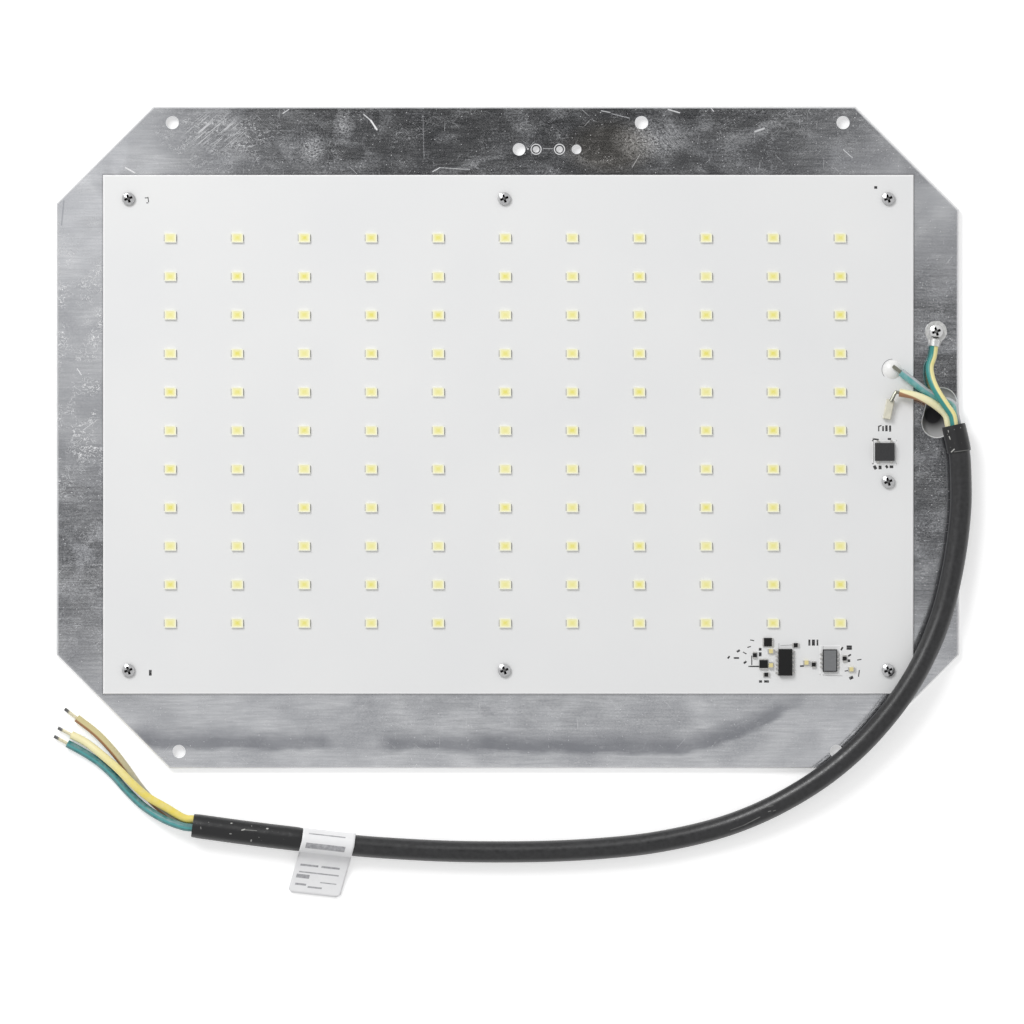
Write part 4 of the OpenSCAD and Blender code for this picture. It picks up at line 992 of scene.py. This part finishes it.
flag_level = FILM_T - label_middle[2]
over, under = wrap_arc(*WRAP_OVER), wrap_arc(*WRAP_UNDER)
upper_half, lower_half = flag_half(over[0], flag_level + FILM_LIFT), flag_half(under[-1], flag_level)
profile = np.concatenate([upper_half, over, under, lower_half[::-1]])
film = new_finish("label_white_film", (0.88, 0.88, 0.89), 0.35)
label_u, label_v = uv_parts(film)
bars = 0.0
for left, right, first, last in LABEL_BARS:
    inside = between(film, label_u, left, right, BAR_SIDE_EDGE)
    lengthways = between(film, label_v, first * MM, last * MM, BAR_EDGE)
    bars = largest(film, bars, times(film, inside, lengthways))
crease = grain(film, 2.5, detail=3.0)
white = mix(film, crease, (0.84, 0.84, 0.855), (0.92, 0.92, 0.925))
faded = ramp(film, grain(film, 0.9, detail=3.0), 0.3, 0.7, 0.95, 0.6)
printed = times(film, bars, faded)
paint(film, printed, white, (0.26, 0.26, 0.28))
bump(film, crease, 0.1 * MM)


def make_label():
    """Film profile carried along the cable: the flag leans sideways by its reach, with round corners."""
    share = np.linspace(0, 1, LABEL_COLUMNS)[None, :]
    across, height = profile[:, :1], profile[:, 1:]
    reach = np.clip(-across / FLAG_REACH, 0, 1)
    past_corner = np.clip((-across - FLAG_REACH + FLAG_CORNER) / FLAG_CORNER, 0, 1)
    half = WRAP_L / 2 - FLAG_CORNER * (1 - np.sqrt(1 - past_corner**2))
    along = (2 * share - 1) * half - FLAG_SLANT * reach
    points = (
        label_middle + along[..., None] * label_way + (across + 0 * share)[..., None] * label_side
        + (height + 0 * share)[..., None] * np.array([0, 0, 1])
    )
    row, column = quad_corners(len(profile), LABEL_COLUMNS)
    piece = make_piece("label", points, (row * LABEL_COLUMNS + column).tolist(), film)
    set_uv(piece, column.ravel() / (LABEL_COLUMNS - 1), way_along(profile)[row].ravel())
    solid = piece.modifiers.new("film", "SOLIDIFY")
    solid.thickness = FILM_T
    solid.offset = 0.0
    return piece


label = make_label()
stand_for(label, "cable_label")

# Floor, light and camera: a pale floor that stays white to the camera and takes a soft shadow, save under
# the slot in the plate, where it gives no light of its own and is painted dark as shade; and a studio sky
# with dark flags high above the plate. A soft key lamp at the upper left is made twice at one place, for the
# plate, which doesn't mirror it, and for all else. The camera looks straight down.
FLOOR_HALF = 4.0
FLOOR_DROP = 0.2 * MM
FLOOR_TONE = 0.9
FLOOR_GLOW = 0.4
SLOT_MIDDLE = (0.1285, 0.0073, 0.0)
SLOT_REACH = (0.006, 0.009, 1.0)
SHADE_MIDDLE = (0.1272, 0.0066, 0.0)
SHADE_REACH = (0.005, 0.005, 1.0)
mesh = bpy.data.meshes.new("floor")
corners = [(-1, -1), (1, -1), (1, 1), (-1, 1)]
mesh.from_pydata([(FLOOR_HALF * x, FLOOR_HALF * y, -FLOOR_DROP) for x, y in corners], [], [(0, 1, 2, 3)])
floor = bpy.data.objects.new("floor", mesh)
bpy.context.scene.collection.objects.link(floor)
ground = new_finish("floor_white", FLOOR_TONE, 0.8, Specular_IOR_Level=0.0, Emission_Color=(1, 1, 1, 1))
rays = add_node(ground, "LightPath", {}).outputs
seen = largest(ground, rays["Is Camera Ray"], rays["Is Glossy Ray"], rays["Is Transmission Ray"])
offset = vectors(ground, "SUBTRACT", place_on(ground), SLOT_MIDDLE)
offset = vectors(ground, "ABSOLUTE", vectors(ground, "DIVIDE", offset, SLOT_REACH))
open_floor = ramp(ground, larger_side(ground, offset), 0.97, 1.0)
# Under the slot the floor is painted as shade: near black in the middle, lighter grey further out.
lighter = ramp(ground, outward_from(ground, SHADE_MIDDLE, SHADE_REACH), 0.45, 1.3)
painted_slot_shade = mix(ground, lighter, (0.03, 0.03, 0.032), 0.6)
paint(ground, open_floor, painted_slot_shade, FLOOR_TONE)
feed(ground, "Emission Strength", times(ground, seen, open_floor, FLOOR_GLOW))
mesh.materials.append(ground)

SKY = 0.62
FLAG_EDGE = (0.88, 1.12)
FLAG_HEIGHT = (0.9, 0.95)
FLAGS = (
    # middle and half sizes of each flag on the sky seen from below, and its darkness; light ones are below 0
    ((0.014, 0.2), (0.204, 0.1), 0.93), ((0.243, 0.012), (0.06, 0.106), 0.95),
    ((-0.244, -0.058), (0.05, 0.06), 0.85), ((0.03, -0.143), (0.14, 0.018), 0.45),
    ((-0.25, 0.19), (0.07, 0.09), -0.45), ((-0.03, -0.186), (0.26, 0.02), -0.2),
    ((0.243, 0.145), (0.05, 0.024), -0.25),
)
world = bpy.data.worlds.new("studio_sky")
bpy.context.scene.world = world
world.use_nodes = True
sky = world.node_tree.nodes["Background"]
sky.inputs["Color"].default_value = (1, 1, 1, 1)
way = add_node(world, "TexCoord", {}).outputs["Generated"]
light = 1.0
for middle, half, depth in FLAGS:
    moved = vectors(world, "SUBTRACT", way, (*middle, 0.0))
    outward = vectors(world, "LENGTH", vectors(world, "MULTIPLY", moved, (1 / half[0], 1 / half[1], 0.0)))
    light = times(world, light, ramp(world, outward, *FLAG_EDGE, 1.0 - depth, 1.0))
light = largest(world, light, ramp(world, split(world, way)[2], *FLAG_HEIGHT, 1.0, 0.0))
world.node_tree.links.new(times(world, light, SKY), sky.inputs["Strength"])

KEY_PLACE = (-0.55, 0.75, 0.95)
KEY_SIZE = 0.6
KEY_POWER = 9.0
KEYS = (
    # name of the lamp, whether metal mirrors it, and whether it lights all but the plate or the plate alone
    ("key", True, "EXCLUDE"), ("key_on_plate", False, "INCLUDE"),
)
for name, mirrored, plate_state in KEYS:
    lamp = bpy.data.lights.new(name, "AREA")
    lamp.shape = "DISK"
    lamp.size = KEY_SIZE
    lamp.energy = KEY_POWER
    key = bpy.data.objects.new(name, lamp)
    key.location = KEY_PLACE
    key.rotation_mode = "QUATERNION"
    key.rotation_quaternion = (-Vector(KEY_PLACE)).to_track_quat("-Z", "Y")
    key.visible_glossy = mirrored
    lit = bpy.data.collections.new(name + "_lights")
    lit.objects.link(nodes["mounting_plate"])
    lit.collection_objects[0].light_linking.link_state = plate_state
    key.light_linking.receiver_collection = lit
    bpy.context.scene.collection.objects.link(key)

CAMERA_PLACE = (0.0013, -0.0224, 2.0)
VIEW_WIDTH = 0.3063
view = bpy.data.cameras.new("camera")
view.sensor_width = 36.0
view.lens = view.sensor_width * CAMERA_PLACE[2] / VIEW_WIDTH
camera = bpy.data.objects.new("camera", view)
camera.location = CAMERA_PLACE
bpy.context.scene.collection.objects.link(camera)
bpy.context.scene.camera = camera
bpy.context.scene.view_settings.view_transform = "Standard"
